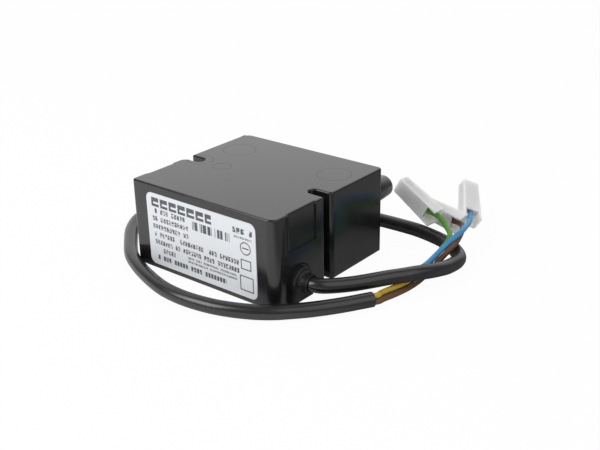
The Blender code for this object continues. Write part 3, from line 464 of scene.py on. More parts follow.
def ring_group() -> NodeTree:
    """Build the mask of a thin ring about a point in a plane.

    The mask is 1 where the distance from the centre is near the radius, and falls to 0 a line's width
    away from it. The plane's two directions are the parts of Plane that are 1.

    Returns:
        The group, with inputs Plane, Centre, Radius and Width.
    """
    tree, given, out = open_group(
        "ring_mark",
        {"Plane": "Vector", "Centre": "Vector", "Radius": "Float", "Width": "Float"},
        {"Mask": "Float"},
    )
    flat = tree.vector("MULTIPLY", tree.place(), given["Plane"])
    far = tree.vector("DISTANCE", flat, given["Centre"], "Value")
    off = tree.math("ABSOLUTE", tree.math("SUBTRACT", far, given["Radius"]))
    share = tree.math("DIVIDE", off, given["Width"])
    tree.feed(out, {"Mask": tree.rest(tree.between(share, 0.3, 1.0))})
    return tree.tree


def bar_group() -> NodeTree:
    """Build the mask of an upright rectangle on the label.

    The mask is 1 where x and z are both within the half sizes of the centre.

    Returns:
        The group, with inputs Centre and Half Size, whose Y parts are unused.
    """
    inputs = {"Centre": "Vector", "Half Size": "Vector"}
    tree, given, out = open_group("printed_bar", inputs, {"Mask": "Float"})
    off = tree.vector("ABSOLUTE", tree.vector("SUBTRACT", tree.place(), given["Centre"]))
    room = tree.parts(tree.vector("SUBTRACT", given["Half Size"], off))
    edge = 0.04 * MM
    tree.feed(out, {"Mask": tree.between(tree.math("MINIMUM", room[0], room[2]), -edge, edge)})
    return tree.tree


def text_group() -> NodeTree:
    """Build rows of unreadable marks, as small print looks from afar.

    Rows follow z over the row pitch and cells follow x over the cell width. Each cell is a grid of 4 by 5
    squares that random numbers fill or leave. Some cells stay empty, as gaps between words.

    Returns:
        The group, with inputs Top, Pitch, Cell and Density.
    """
    tree, given, out = open_group(
        "small_print",
        {"Top": "Float", "Pitch": "Float", "Cell": "Float", "Density": "Float"},
        {"Mask": "Float"},
    )
    place = tree.parts(tree.place())
    down = tree.math("DIVIDE", tree.math("SUBTRACT", given["Top"], place[2]), given["Pitch"])
    row = tree.math("FLOOR", down)
    part = tree.math("FRACT", down)
    cell = tree.math("DIVIDE", place[0], given["Cell"])
    letter_seed, across, up, space_share = 7.0, 4.0, 8.0, 0.14
    letter = tree.add("CombineXYZ", {0: tree.math("FLOOR", cell), 1: row, 2: letter_seed}).outputs[0]
    column = tree.math("FLOOR", tree.math("MULTIPLY", cell, across))
    level = tree.math("FLOOR", tree.math("MULTIPLY", part, up))
    line = tree.math("MULTIPLY_ADD", row, up + 1.0, level)
    square = tree.add("CombineXYZ", {0: column, 1: line}).outputs[0]
    filled = tree.math("LESS_THAN", tree.random(square), given["Density"])
    written = tree.math("GREATER_THAN", tree.random(letter), space_share)
    gap = tree.rest(tree.between(tree.math("FRACT", cell), 0.74, 0.8))
    inside = tree.math("MULTIPLY", tree.between(part, 0.17, 0.23), tree.rest(tree.between(part, 0.77, 0.83)))
    tree.feed(out, {"Mask": tree.chain("MULTIPLY", filled, written, gap, inside)})
    return tree.tree


class Groups:
    """The shader groups that several finishes share, each built once."""

    def __init__(self) -> None:
        """Build all of them."""
        self.moulded = moulded_group()
        self.ring = ring_group()
        self.bar = bar_group()
        self.text = text_group()

    def circle(self, tree: Tree, plane: Point, centre: Point, radius: float, width: float) -> NodeSocket:
        """Place the mask of a ring by its centre, radius and line width in millimetres."""
        middle, sizes = tuple(part * MM for part in centre), {"Radius": radius * MM, "Width": width * MM}
        return tree.group(self.ring, sizes | {"Plane": plane, "Centre": middle})[0]


def new_material(name: str) -> tuple[Material, Tree, Node]:
    """Start a material.

    Args:
        name: Its name.

    Returns:
        The material, its tree and its Principled shader.
    """
    made = bpy.data.materials.new(name)
    made.use_nodes = True
    return made, Tree(made.node_tree), made.node_tree.nodes["Principled BSDF"]


@dataclass(frozen=True)
class Moulding:
    """A moulded, cast or lacquered finish with grain, two close tones and uneven gloss."""

    name: str
    tone: Colour
    second_tone: Colour
    roughness: float = 0.4
    grain: float = 2500.0
    depth: float = 0.00002
    patches: float = 60.0
    metallic: float = 0.0
    subsurface: float = 0.0
    coat: float = 0.0
    specular: float = 0.5

    def build(self, groups: Groups) -> Material:
        """Build the material.

        Args:
            groups: The shared shader groups.

        Returns:
            The material.
        """
        made, tree, shader = new_material(self.name)
        self.connect(groups, tree, shader)
        return made

    def connect(self, groups: Groups, tree: Tree, shader: Node) -> Mapping[str, NodeSocket]:
        """Feed the shader from the moulded group.

        Args:
            groups: The shared shader groups.
            tree: The material's nodes.
            shader: Its Principled shader.

        Returns:
            The moulded group's outputs.
        """
        grain = {
            "Tone": (*self.tone, 1.0),
            "Second Tone": (*self.second_tone, 1.0),
            "Roughness": self.roughness,
            "Grain": self.grain,
            "Patches": self.patches,
        }
        skin = tree.group(groups.moulded, grain)
        values = {
            "Base Color": skin["Color"],
            "Roughness": skin["Roughness"],
            "Normal": tree.bump(skin["Height"], self.depth),
            "Metallic": self.metallic,
            "Subsurface Weight": self.subsurface,
            "Subsurface Scale": 0.005,
            "Subsurface Radius": (1.0, 1.0, 0.9),
            "Specular IOR Level": self.specular,
            "Coat Weight": self.coat,
            "Coat Roughness": self.roughness,
        }
        tree.feed(shader, values)
        return skin


@dataclass(frozen=True)
class CaseFinish(Moulding):
    """The case's black moulding with the shallow round marks of its tool, and painted shade at its panel
    steps, round the bush flange and in the marks.
    """

    marks: tuple[Point, ...] = ((31.8, 20.0, 8.7), (-30.6, 20.0, 8.7), (-20.9, -4.0, 4.5), (-36.5, -3.2, 6.6))
    line_width: float = 0.5
    # Painted shade ring on the right face round the bush flange: its centre's y and z and its radius, in
    # millimetres.
    flange_shade: Point = (-25.4, 9.9, 8.1)
    top_span: Pair = (0.0445, 0.0449)
    face_x: float = 0.0453
    groove_depth: float = 0.00004
    grain_share: float = 0.06
    # How strongly the painted shade in the marks' grooves darkens the case, from 0 to 1.
    groove_shade_tone: float = 0.35

    def build(self, groups: Groups) -> Material:
        """Build the material with its marks as faint grooves, and with painted shade as dark lines at its
        steps, round the bush flange and in the grooves.

        Args:
            groups: The shared shader groups.

        Returns:
            The material.
        """
        made, tree, shader = new_material(self.name)
        skin = self.connect(groups, tree, shader)
        place = tree.parts(tree.place())
        circles = [
            groups.circle(tree, (1.0, 1.0, 0.0), (x, y, 0.0), radius, self.line_width)
            for x, y, radius in self.marks
        ]
        groove = tree.chain("MULTIPLY", tree.chain("ADD", *circles), tree.between(place[2], *self.top_span))
        height = tree.math("SUBTRACT", tree.math("MULTIPLY", skin["Height"], self.grain_share), groove)
        # Painted shade: a dark ring on the right face just outside the bush flange, where the flange's shade
        # falls.
        flange_shade_y, flange_shade_z, radius = self.flange_shade
        flange_shade = groups.circle(tree, (0.0, 1.0, 1.0), (0.0, flange_shade_y, flange_shade_z), radius, self.line_width)
        flange_shade = tree.math("MULTIPLY", flange_shade, tree.math("GREATER_THAN", place[0], self.face_x))
        # Painted shade: the step attribute marks the sharp steps of the recessed panels, where shade falls.
        step = tree.add("Attribute", attribute_name="step").outputs["Fac"]
        # Every painted shade line darkens the colour towards black, raises the roughness and takes away the
        # coat, so that it reflects nothing.
        line = tree.chain("MAXIMUM", flange_shade, step, tree.math("MULTIPLY", groove, self.groove_shade_tone))
        line = tree.math("MINIMUM", line, 1.0)
        values = {
            "Normal": tree.bump(height, self.groove_depth),
            "Coat Weight": tree.math("MULTIPLY", tree.rest(line), self.coat),
            "Roughness": tree.math("MAXIMUM", skin["Roughness"], line),
            "Base Color": tree.blend(line, skin["Color"], BLACK),
        }
        tree.feed(shader, values)
        return made


@dataclass(frozen=True)
class Box:
    """A rectangle on the label, by its centre and half sizes."""

    x: float
    z: float
    half_x: float
    half_z: float


@dataclass(frozen=True)
class Rows:
    """Rows of marks in a box, by the first row's top, the row pitch, the cell width and the share filled."""

    top: float
    pitch: float
    cell: float
    density: float
    box: Box


@dataclass(frozen=True)
class LabelPrint:
    """White label film with plain bars, a ring, boxes and rows of unreadable marks in grey ink."""

    name: str = "label_print"
    film: Colour = (0.74, 0.76, 0.79)
    ink: Colour = (0.09, 0.09, 0.1)
    title: Box = Box(-12.3, 36.4, 20.0, 2.35)
    title_slit: Box = Box(-11.8, 36.0, 24.0, 0.55)
    title_start: float = -32.3
    title_pitch: float = 6.0
    stripes: Box = Box(7.0, 30.4, 12.0, 2.2)
    stripe_count: float = 2600.0
    rows: tuple[Rows, ...] = (
        Rows(33.9, 4.15, 1.9, 0.74, Box(-20.0, 27.7, 12.2, 6.2)),
        Rows(33.9, 4.15, 1.75, 0.78, Box(-3.5, 17.3, 28.0, 4.1)),
        Rows(33.9, 4.15, 1.75, 0.74, Box(-25.0, 11.1, 7.0, 2.0)),
        Rows(13.2, 1.95, 1.0, 0.7, Box(6.5, 11.2, 16.0, 2.0)),
        Rows(8.95, 4.15, 1.9, 0.93, Box(-8.0, 6.9, 23.5, 2.0)),
        Rows(37.9, 4.6, 2.6, 0.86, Box(27.0, 35.6, 5.9, 2.3)),
        Rows(33.3, 1.9, 1.1, 0.7, Box(27.0, 32.4, 5.4, 0.9)),
    )
    ring: Point = (28.5, 27.6, 3.0)
    ring_bar: Box = Box(28.5, 27.6, 2.0, 0.35)
    frames: tuple[Box, ...] = (Box(28.5, 19.3, 3.2, 2.6), Box(28.6, 9.6, 4.2, 3.9))
    frame_width: float = 0.6
    line_width: float = 0.45

    def build(self, groups: Groups) -> Material:
        """Build the material.

        The title is a row of blocks at the title's pitch, which the slit cuts from a fifth of each block
        on. The darkest of all masks holds at each point, and noise thins the ink.

        Args:
            groups: The shared shader groups.

        Returns:
            The material.
        """
        made, tree, shader = new_material(self.name)

        def bar(box: Box, inset: float = 0.0) -> NodeSocket:
            """Mask of a printed box, moved in by an inset."""
            half = ((box.half_x - inset) * MM, 1.0, (box.half_z - inset) * MM)
            return tree.group(groups.bar, {"Centre": (box.x * MM, 0.0, box.z * MM), "Half Size": half})[0]

        along = tree.parts(tree.place())[0]
        shifted = tree.math("ADD", along, -self.title_start * MM)
        blocks = tree.math("FRACT", tree.math("MULTIPLY", shifted, 1 / (self.title_pitch * MM)))
        uncut = tree.rest(tree.math("MULTIPLY", tree.between(blocks, 0.2, 0.24), bar(self.title_slit)))
        strip = tree.random(tree.math("FLOOR", tree.math("MULTIPLY", along, self.stripe_count)), "W", "1D")
        x, z, radius = self.ring
        masks = [
            tree.chain("MULTIPLY", uncut, tree.math("LESS_THAN", blocks, 0.84), bar(self.title)),
            tree.math("MULTIPLY", tree.math("GREATER_THAN", strip, 0.42), bar(self.stripes)),
            groups.circle(tree, (1.0, 0.0, 1.0), (x, 0.0, z), radius, self.line_width),
            bar(self.ring_bar),
        ]
        for row in self.rows:
            sizes = {"Top": row.top * MM, "Pitch": row.pitch * MM, "Cell": row.cell * MM}
            marks = tree.group(groups.text, sizes | {"Density": row.density})[0]
            masks.append(tree.math("MULTIPLY", marks, bar(row.box)))
        masks += [tree.math("SUBTRACT", bar(box), bar(box, self.frame_width)) for box in self.frames]
        wear = tree.noise(1800.0, 2.0)
        strength = tree.math("MULTIPLY", tree.chain("MAXIMUM", *masks), tree.between(wear, 0.1, 0.4))
        values = {
            "Base Color": tree.blend(strength, (*self.film, 1.0), (*self.ink, 1.0)),
            "Roughness": tree.math("MULTIPLY_ADD", wear, 0.1, 0.4),
            "Normal": tree.bump(wear, 0.000008),
        }
        tree.feed(shader, values)
        return made


@dataclass(frozen=True)
class StripedInsulation:
    """Wire insulation in one colour, or in two that share its way round."""

    name: str
    base: Colour
    stripe: Colour | None = None
    phase: float = 0.0
    twist: float = 0.0
    roughness: float = 0.38
    dark_share: float = 0.82

    def build(self, groups: Groups) -> Material:
        """Build the material.

        The stripe covers the points whose way round is near its middle, which is the phase plus the twist
        times the distance along.

        Args:
            groups: The shared shader groups.

        Returns:
            The material.
        """
        made, tree, shader = new_material(self.name)
        dark = tuple(part * self.dark_share for part in self.base)
        skin = Moulding(self.name, self.base, dark, self.roughness).connect(groups, tree, shader)
        if self.stripe is None:
            return made
        section = tree.parts(tree.add("Attribute", attribute_name="section").outputs["Vector"])
        angle = tree.math("ARCTAN2", section[1], section[0])
        middle = tree.math("MULTIPLY_ADD", section[2], self.twist, self.phase)
        mask = tree.between(tree.math("COSINE", tree.math("SUBTRACT", angle, middle)), 0.3, 0.4)
        tree.feed(shader, {"Base Color": tree.blend(mask, skin["Color"], (*self.stripe, 1.0))})
        return made


class Finish(Enum):
    """The finishes of the part, by what they cover."""

    CASE = CaseFinish(
        "case_black", (0.008, 0.008, 0.009), (0.013, 0.013, 0.014), 0.17, 1400.0, 0.00002, 45.0, coat=0.5
    )
    LABEL = LabelPrint()
    BUSH = Moulding("bush_black", (0.009, 0.009, 0.01), (0.014, 0.014, 0.015), 0.36, 1800.0, 0.00001)
    SHEATH = Moulding(
        "cord_sheath", (0.008, 0.008, 0.009), (0.012, 0.012, 0.013), 0.26, 1200.0, 0.000002, 120.0,
        specular=0.9,
    )
    BROWN = StripedInsulation("insulation_brown", (0.14, 0.065, 0.035))
    BLUE = StripedInsulation("insulation_blue", (0.05, 0.3, 0.58))
    GREEN_YELLOW = StripedInsulation(
        "insulation_green_yellow", (0.09, 0.31, 0.03), (0.52, 0.34, 0.02), 0.9, -0.0134
    )
    HOUSING = Moulding(
        "nylon_natural", (0.94, 0.94, 0.89), (0.91, 0.91, 0.85), 0.4, 900.0, 0.00002, 90.0, subsurface=0.9
    )
    BRASS = Moulding(
        "contact_brass", (0.78, 0.58, 0.25), (0.66, 0.48, 0.2), 0.3, 2200.0, 0.00001, 200.0, metallic=1.0
    )
    RESIN = Moulding("resin", (0.02, 0.018, 0.016), (0.03, 0.027, 0.024), 0.22, 260.0, 0.00012, 50.0)
    BOARD = Moulding("board_laminate", (0.05, 0.2, 0.07), (0.04, 0.16, 0.055), 0.4, 1500.0, 0.00001, 300.0)
    FERRITE = Moulding("ferrite", (0.05, 0.05, 0.055), (0.07, 0.07, 0.075), 0.6, 1600.0, 0.00004, 200.0)
    BOBBIN = Moulding("bobbin_plastic", (0.55, 0.5, 0.4), (0.5, 0.45, 0.36), 0.45)
    COPPER = Moulding(
        "winding_copper", (0.62, 0.27, 0.1), (0.5, 0.2, 0.07), 0.34, 3000.0, 0.00006, 150.0, metallic=0.7
    )
    HV_LEAD = Moulding("lead_insulation", (0.3, 0.03, 0.03), (0.24, 0.02, 0.02), 0.4)
    RED_BOX = Moulding("capacitor_red", (0.5, 0.07, 0.05), (0.42, 0.05, 0.04), 0.38)
    YELLOW_BOX = Moulding("capacitor_yellow", (0.75, 0.55, 0.08), (0.68, 0.49, 0.06), 0.4)
    DISC = Moulding("varistor_lacquer", (0.03, 0.12, 0.38), (0.025, 0.1, 0.32), 0.3)
    COMPONENT = Moulding("component_black", (0.02, 0.02, 0.022), (0.03, 0.03, 0.032), 0.45)
    RESISTOR = Moulding("resistor_body", (0.5, 0.42, 0.3), (0.45, 0.37, 0.26), 0.5)


class Wardrobe:
    """Builds each finish the first time it is asked for."""

    def __init__(self) -> None:
        """Build the shared groups."""
        self.groups = Groups()
        self.made: dict[Finish, Material] = {}

    def get(self, finish: Finish) -> Material:
        """Return the material of a finish."""
        if finish not in self.made:
            self.made[finish] = finish.value.build(self.groups)
        return self.made[finish]


@dataclass(frozen=True)
class Panel:
    """A shallow recess in a side face: where it starts, ends and stops, and how wide each edge is."""

    side: int
    start: float
    end: float
    ledge: float = 26.0
    start_edge: float = 4.0
    end_edge: float = 0.35
    ledge_edge: float = 0.35

    def share(self, x: np.ndarray, y: np.ndarray, z: np.ndarray) -> np.ndarray:
        """Share of the full recess at each point: the product of three smooth steps.

        Args:
            x: Only its sign is used, to pick the points on the panel's side.
            y: Distance along the side face.
            z: Height.

        Returns:
            Numbers from 0 to 1.
        """
        edges = (
            (y - self.start) / self.start_edge,
            (self.end - y) / self.end_edge,
            (z - self.ledge) / self.ledge_edge,
        )
        total = np.where(np.sign(x) == self.side, 1.0, 0.0)
        for edge in edges:
            step = np.clip(edge + 0.5, 0, 1)
            total = total * step * step * (3 - 2 * step)
        return total


PANELS = (Panel(1, -33.0, -12.2), Panel(-1, -33.0, -14.5))
# Width in millimetres of the painted shade line at the panels' sharp steps.
LINE_WIDTH = 0.65
CORNER_STEPS = 12
MOUTH_STEPS = (5, 8)
SLOT_STEPS = 24
LOW_ROWS = (2.0, 5.0, 9.0, 13.0, 17.0, 20.0, 22.0, 24.0, 25.0)
LEDGE_ROWS = (*np.arange(25.6, 26.5, 0.1), 26.7, 27.0)
HIGH_ROWS = tuple(np.arange(27.5, 43.9, 0.5))


@dataclass
class Case:
    """The moulded case: one skin from the roof inside, round the rim, to the top face, with two outlets."""

    half_width: float = 45.6
    half_depth: float = 42.5
    height: float = 45.0
    wall: float = 2.2
    roof: float = 2.5
    round_corner: float = 5.0
    tight_corner: float = 1.5
    back_corner: float = 2.6
    top_round: float = 0.9
    rim_round: float = 0.3
    slot_y: float = -3.2
    slot_half: float = 2.85
    slot_centre_x: float = 37.35
    slot_wall: float = 2.0
    right_mouth: Pair = (1.0, 2.4)
    left_mouth: Pair = (4.0, 0.8)
    recess: float = 0.8
    notch_y: float = -25.4
    notch_z: float = 9.9
    notch_half: float = 5.9
    tower_x: float = 37.6
    tower_z: float = 29.6
    tower_radius: float = 5.7
    tower_length: float = 13.0
    bore_radius: float = 3.2
    skin: float = 2.0
    face_limit: float = 0.05
    sample_gap: float = 0.5
    fine_reach: float = 0.25
    fine_room: float = 0.35
    inner_row: float = 18.0
    top_ring: float = 0.5
    side_start: float = -37.2
    mouth_room: float = 1.9
    side_back: Pair = (2.3, 40.6)
    slot_span: Pair = (42.6, 38.0)
    end_span: Pair = (42.0, -40.2)
    least_corner: float = 0.6
    least_mouth: float = 0.05
    tower_root: float = 1.0
    tower_foot: float = 0.8
    tower_tip: Pairs = ((-0.6, 0.0), (-0.15, -0.15), (0.0, -0.5))
    pin_hole: float = 1.6
    pin_hole_end: float = 2.5
    tower_floor: float = 0.5

    def side(self, inset: float, growth: float, front: float, back: float, mouth: Pair) -> np.ndarray:
        """Outline of the right half, from the front edge's right end to the back edge's right end.

        Corners are quarter circles and the slot ends in a half circle. Points between them keep the same
        Y or X for every inset, so that loops of different insets match point by point.

        Args:
            inset: Distance that the outline has moved in from the outer face.
            growth: Distance that the slot has grown.
            front: Radius of the front corner on the outer face.
            back: Radius of the back corner on the outer face.
            mouth: Radii of the slot's front and back corners on the outer face.

        Returns:
            The (x, y) points.
        """
        half_x, half_y, slot = self.half_width - inset, self.half_depth - inset, self.slot_half + growth
        front, back = (max(radius - inset, self.least_corner) for radius in (front, back))
        near, far = (max(radius - inset, self.least_mouth) for radius in mouth)
        side_end = self.slot_y - self.slot_half - mouth[0] - self.mouth_room
        wall = np.linspace(*self.slot_span, 6)
        return np.vstack(
            [
                arc((half_x - front, -half_y + front), front, 270, 360, CORNER_STEPS),
                self.paired(half_x, self.side_samples(self.side_start, side_end)),
                arc((half_x - near, self.slot_y - slot - near), near, 0, 90, MOUTH_STEPS[0]),
                self.paired(wall, self.slot_y - slot),
                arc((self.slot_centre_x, self.slot_y), slot, 270, 90, SLOT_STEPS),
                self.paired(wall[::-1], self.slot_y + slot),
                arc((half_x - far, self.slot_y + slot + far), far, 270, 360, MOUTH_STEPS[1]),
                self.paired(half_x, self.side_samples(*self.side_back)),
                arc((half_x - back, half_y - back), back, 0, 90, CORNER_STEPS),
            ]
        )

    @staticmethod
    def paired(first: object, second: object) -> np.ndarray:
        """Pair two columns of numbers, of which either may be a single number."""
        return np.column_stack(np.broadcast_arrays(first, second))

    def side_samples(self, low: float, high: float) -> np.ndarray:
        """Y values along a side face, at the sample gap and closer together across sharp panel ends.

        Args:
            low: The first value.
            high: The end of the values.

        Returns:
            The values in order.
        """
        ends = np.array([panel.end for panel in PANELS])
        coarse = np.arange(low, high, self.sample_gap)
        fine = (ends[:, None] + np.linspace(-self.fine_reach, self.fine_reach, 8)).ravel()
        near = np.abs(coarse[:, None] - ends).min(axis=1) < self.fine_room
        return np.unique(np.concatenate([coarse[~near], fine[(fine > low) & (fine < high)]]))

    def outline(self, inset: float, growth: float) -> np.ndarray:
        """The whole outline from above.

        Args:
            inset: Distance that the outline has moved in from the outer face.
            growth: Distance that the slots have grown.

        Returns:
            The (x, y) points, which match between insets.
        """
        right = self.side(inset, growth, self.round_corner, self.back_corner, self.right_mouth)
        left = self.side(inset, growth, self.tight_corner, self.round_corner, self.left_mouth)[::-1] * (-1, 1)
        span = np.linspace(*self.end_span, 24)
        back = self.paired(span, self.half_depth - inset)
        return np.vstack([right, back, left, back * (-1, -1)])

    def recessed(self, loops: np.ndarray) -> tuple[np.ndarray, np.ndarray]:
        """Press the side faces in at the panels: no point there is farther out than the panel's surface.

        Args:
            loops: Array of shape (rows, columns, 3).

        Returns:
            The moved loops, and at each point how near it is to the middle of a sharp step, from 0 to 1,
            where the case's finish paints a shade line.
        """
        x, y, z = np.moveaxis(loops, -1, 0)
        share = sum(panel.share(x, y, z) for panel in PANELS)
        # The wider panels set the width of the painted shade line at each sharp step.
        wider = [replace(panel, end_edge=LINE_WIDTH, ledge_edge=LINE_WIDTH) for panel in PANELS]
        sharp = sum(panel.share(x, y, z) for panel in wider)
        inset = self.half_width - np.abs(x)
        moved = loops.copy()
        moved[..., 0] = np.sign(x) * (np.abs(x) - np.where(inset < self.skin, self.recess * share, 0.0))
        on_face = (inset < self.face_limit) & (z < self.height - self.top_round)
        return moved, np.where(on_face, 4 * sharp * (1 - sharp), 0.0)

    def notched(self, loops: np.ndarray) -> np.ndarray:
        """Raise the rim over the cord's bush: no point there lies below a round arch.

        Args:
            loops: Array of shape (rows, columns, 3).

        Returns:
            The moved loops.
        """
        x, y, z = np.moveaxis(loops, -1, 0)
        off = y - self.notch_y
        near = (x > self.half_width - self.wall - 1.0) & (np.abs(off) < self.notch_half)
        arch = self.notch_z + np.sqrt(np.maximum(self.notch_half**2 - off**2, 0))
        raised = loops.copy()
        raised[..., 2] = np.where(near, np.maximum(z, arch), z)
        return raised

    def shell(self) -> Surface:
        """Stack the loops: inner roof, inner rim, outer rim, side rows, top rounding and top ring.

        Returns:
            The closed surface, which keeps how near each point is to a sharp step, for the painted shade line
            there.
        """
        inner = self.outline(self.wall, self.slot_wall)
        quarter = np.radians(np.linspace(0, 90, 7))
        rim, edge = self.rim_round, self.top_round
        stack = [(rim * (1 - math.sin(a)), rim * (1 - math.cos(a))) for a in quarter[::3]]
        stack += [(0.0, z) for z in (*LOW_ROWS, *LEDGE_ROWS, *HIGH_ROWS)]
        stack += [(edge * (1 - math.cos(a)), self.height - edge * (1 - math.sin(a))) for a in quarter]
        stack.append((edge + self.top_ring, self.height))
        outer = np.stack([np.insert(self.outline(inset, inset), 2, z, axis=1) for inset, z in stack])
        outer, step = self.recessed(outer)
        levels = (self.height - self.roof, self.inner_row, 0.0)
        inside = np.stack([np.insert(inner, 2, z, axis=1) for z in levels])
        shell = lofted(self.notched(np.vstack([inside, outer])))
        shell.values["step"] = np.vstack([np.zeros(inside.shape[:2]), step]).ravel()
        return shell

    def tower(self, side: int) -> Surface:
        """Outlet: a round tower with a flared foot, a rounded mouth and a blind bore.

        Args:
            side: 1 for the right outlet and -1 for the left.

        Returns:
            The closed surface.
        """
        end, radius, bore, foot = self.tower_length, self.tower_radius, self.bore_radius, self.tower_foot
        profile = [(-self.tower_root, 0.0), (-self.tower_root, radius + foot)]
        quarter = np.radians([0, 30, 60, 90])
        profile += [(foot * math.sin(a), radius + foot * (1 - math.cos(a))) for a in quarter]
        profile += [(end + along, radius + growth) for along, growth in self.tower_tip]
        profile += [(end, bore + 0.4), (end - 0.3, bore), (self.pin_hole_end, bore)]
        profile += [(self.pin_hole_end, self.pin_hole), (self.tower_floor, self.pin_hole)]
        profile.append((self.tower_floor, 0.0))
        return turned(profile, (side * self.tower_x, self.half_depth, self.tower_z), Axis.Y, 64)

    def surface(self) -> Surface:
        """The shell with its two outlets."""
        return joined([self.shell(), self.tower(-1), self.tower(1)])


@dataclass
class Label:
    """The rating label: film with round corners and a slightly rounded edge."""

    x: float = -0.5
    z: float = 21.7
    half_width: float = 35.3
    half_height: float = 19.15
    corner: float = 3.5
    back_y: float = -42.52
    face_y: float = -42.95
    edge: float = 0.1
    rim: float = 0.8

    def surface(self) -> Surface:
        """Stack loops that move in near the film's face.

        Returns:
            The closed surface.
        """
        levels = [(0.0, self.back_y), (0.0, self.face_y + self.edge)]
        levels += [(self.edge, self.face_y), (self.rim, self.face_y)]
        loops = []
        for inset, y in levels:
            flat = rounded_rectangle(self.half_width - inset, self.half_height - inset, self.corner - inset)
            loops.append(np.insert(flat + (self.x, self.z), 1, y, axis=1))
        return lofted(np.stack(loops))


@dataclass
class Bush:
    """The cord's strain relief: an arched flange on the case and a round collar about the cord."""

    axis_y: float = -25.4
    axis_z: float = 9.9
    flange_half: float = 7.1
    flange_round: float = 0.9
    back_x: float = 45.62
    face_x: float = 48.6
    foot_z: float = 0.3
    neck_half: float = 5.6
    inner_x: float = 41.4
    collar_radius: float = 4.7
    collar_length: float = 4.7
    bore_radius: float = 3.85
    straight: float = 1.5
    collar_root: float = 0.6
    collar_foot: Pairs = ((-0.6, 0.9), (0.0, 0.9), (0.25, 0.4), (0.8, 0.08), (2.0, -0.02))
    collar_lip: Pairs = ((-0.9, -0.1), (-0.5, 0.0), (-0.15, -0.1), (0.0, -0.4))
    mouth_round: Pairs = ((0.0, 0.15), (-0.2, 0.0))
    bore_start: float = 1.0

    def arch(self, half: float, bottom: float, x: float) -> np.ndarray:
        """Round-topped outline in the YZ plane at one X: a half circle on two straight sides.

        Args:
            half: Radius of the half circle.
            bottom: Height of the foot.
            x: Its place along X.

        Returns:
            The points.
        """
        top = arc((self.axis_y, self.axis_z), half, 0, 180, 24)
        height = np.linspace(self.axis_z - self.straight, bottom, 6)
        left = np.column_stack([np.full(6, self.axis_y - half), height])
        foot_y = np.linspace(self.axis_y - half + 1, self.axis_y + half - 1, 8)
        foot = np.column_stack([foot_y, np.full(8, bottom)])
        flat = np.vstack([top, left, foot, left[::-1] * (-1, 1) + (2 * self.axis_y, 0)])
        return np.insert(flat, 0, x, axis=1)

    def flange(self) -> Surface:
        """Stack arches from the case to the face, moved in round the front edge.

        Returns:
            The closed surface.
        """
        edge = self.flange_round
        start = self.face_x - edge
        levels = [(0.0, self.back_x)]
        levels += [
            (edge * (1 - math.cos(a)), start + edge * math.sin(a)) for a in np.radians(np.linspace(0, 90, 5))
        ]
        levels.append((edge + 0.6, self.face_x))
        loops = [self.arch(self.flange_half - inset, self.foot_z + inset, x) for inset, x in levels]
        return lofted(np.stack(loops))

    def neck(self) -> Surface:
        """The narrower block that fills the wall's notch."""
        places = (self.inner_x, self.back_x + 0.5)
        return lofted(np.stack([self.arch(self.neck_half, self.foot_z, x) for x in places]))

    def collar(self) -> Surface:
        """Spin the collar with its filleted foot, its rounded lip and the bore round the cord.

        Returns:
            The closed surface.
        """
        length, radius, bore = self.collar_length, self.collar_radius, self.bore_radius
        profile = [(-self.collar_root, 0.0)]
        profile += [(along, radius + growth) for along, growth in self.collar_foot]
        profile += [(length + along, radius + growth) for along, growth in self.collar_lip]
        profile += [(length + along, bore + growth) for along, growth in self.mouth_round]
        profile += [(self.bore_start, bore), (self.bore_start, 0.0)]
        return turned(profile, (self.face_x, self.axis_y, self.axis_z), Axis.X, 56)

    def surface(self) -> Surface:
        """The flange, the neck and the collar."""
        return joined([self.flange(), self.neck(), self.collar()])


@dataclass
class Pin:
    """A turned high-voltage contact in its outlet."""

    x: float
    z: float = 29.6
    start_y: float = 38.4
    flange_radius: float = 2.6
    flange_length: float = 1.6
    radius: float = 1.3
    end_y: float = 54.0
    tip: Pairs = ((0.9, 1.0), (0.45, 0.88), (0.12, 0.6), (0.0, 0.0))

    def surface(self) -> Surface:
        """Spin the pin from its flange to its rounded tip.

        Returns:
            The closed surface.
        """
        length = self.end_y - self.start_y
        profile = [(0.0, 0.0), (0.0, self.flange_radius), (self.flange_length, self.flange_radius)]
        profile.append((self.flange_length, self.radius))
        profile += [(length - before, self.radius * share) for before, share in self.tip]
        return turned(profile, (self.x, self.start_y, self.z), Axis.Y, 32)


@dataclass(frozen=True)
class Seat:
    """Where a connector lies: its middle, and the way its mouth points."""

    centre: Point
    mouth: Point

    def at(self, along: float) -> np.ndarray:
        """Point on the connector's middle line, in millimetres from its middle towards its mouth."""
        return np.array(self.centre) + unit(np.array(self.mouth)) * along


@dataclass
class Cord:
    """The mains cord's jacket along its route, with a cut end that shows its bore."""

    route: tuple[Point, ...]
    diameter: float = 7.2
    inside: tuple[Point, ...] = ((41.4, -25.4, 9.9), (47.0, -25.4, 9.9))
    spacing: float = 2.2
    bore_radius: float = 2.95
    bore_depth: float = 1.1
    edge_round: Pair = (0.25, 0.22)

    def dress(self, wardrobe: Wardrobe) -> Object:
        """Args:
            wardrobe: The finishes.

        Returns:
            The jacket's object.
        """
        path = np.vstack([np.array(self.inside), smooth_route(self.route, self.spacing)])
        full = self.diameter / 2
        back, down = self.edge_round
        ends = [(-back, full), (0.0, full - down), (0.0, self.bore_radius)]
        ends.append((-self.bore_depth, self.bore_radius - 0.1))
        surface = swept(path, 40, full, ends)
        made = piece("cord_jacket", surface, wardrobe.get(Finish.SHEATH), ["mains_cord"])
        return made


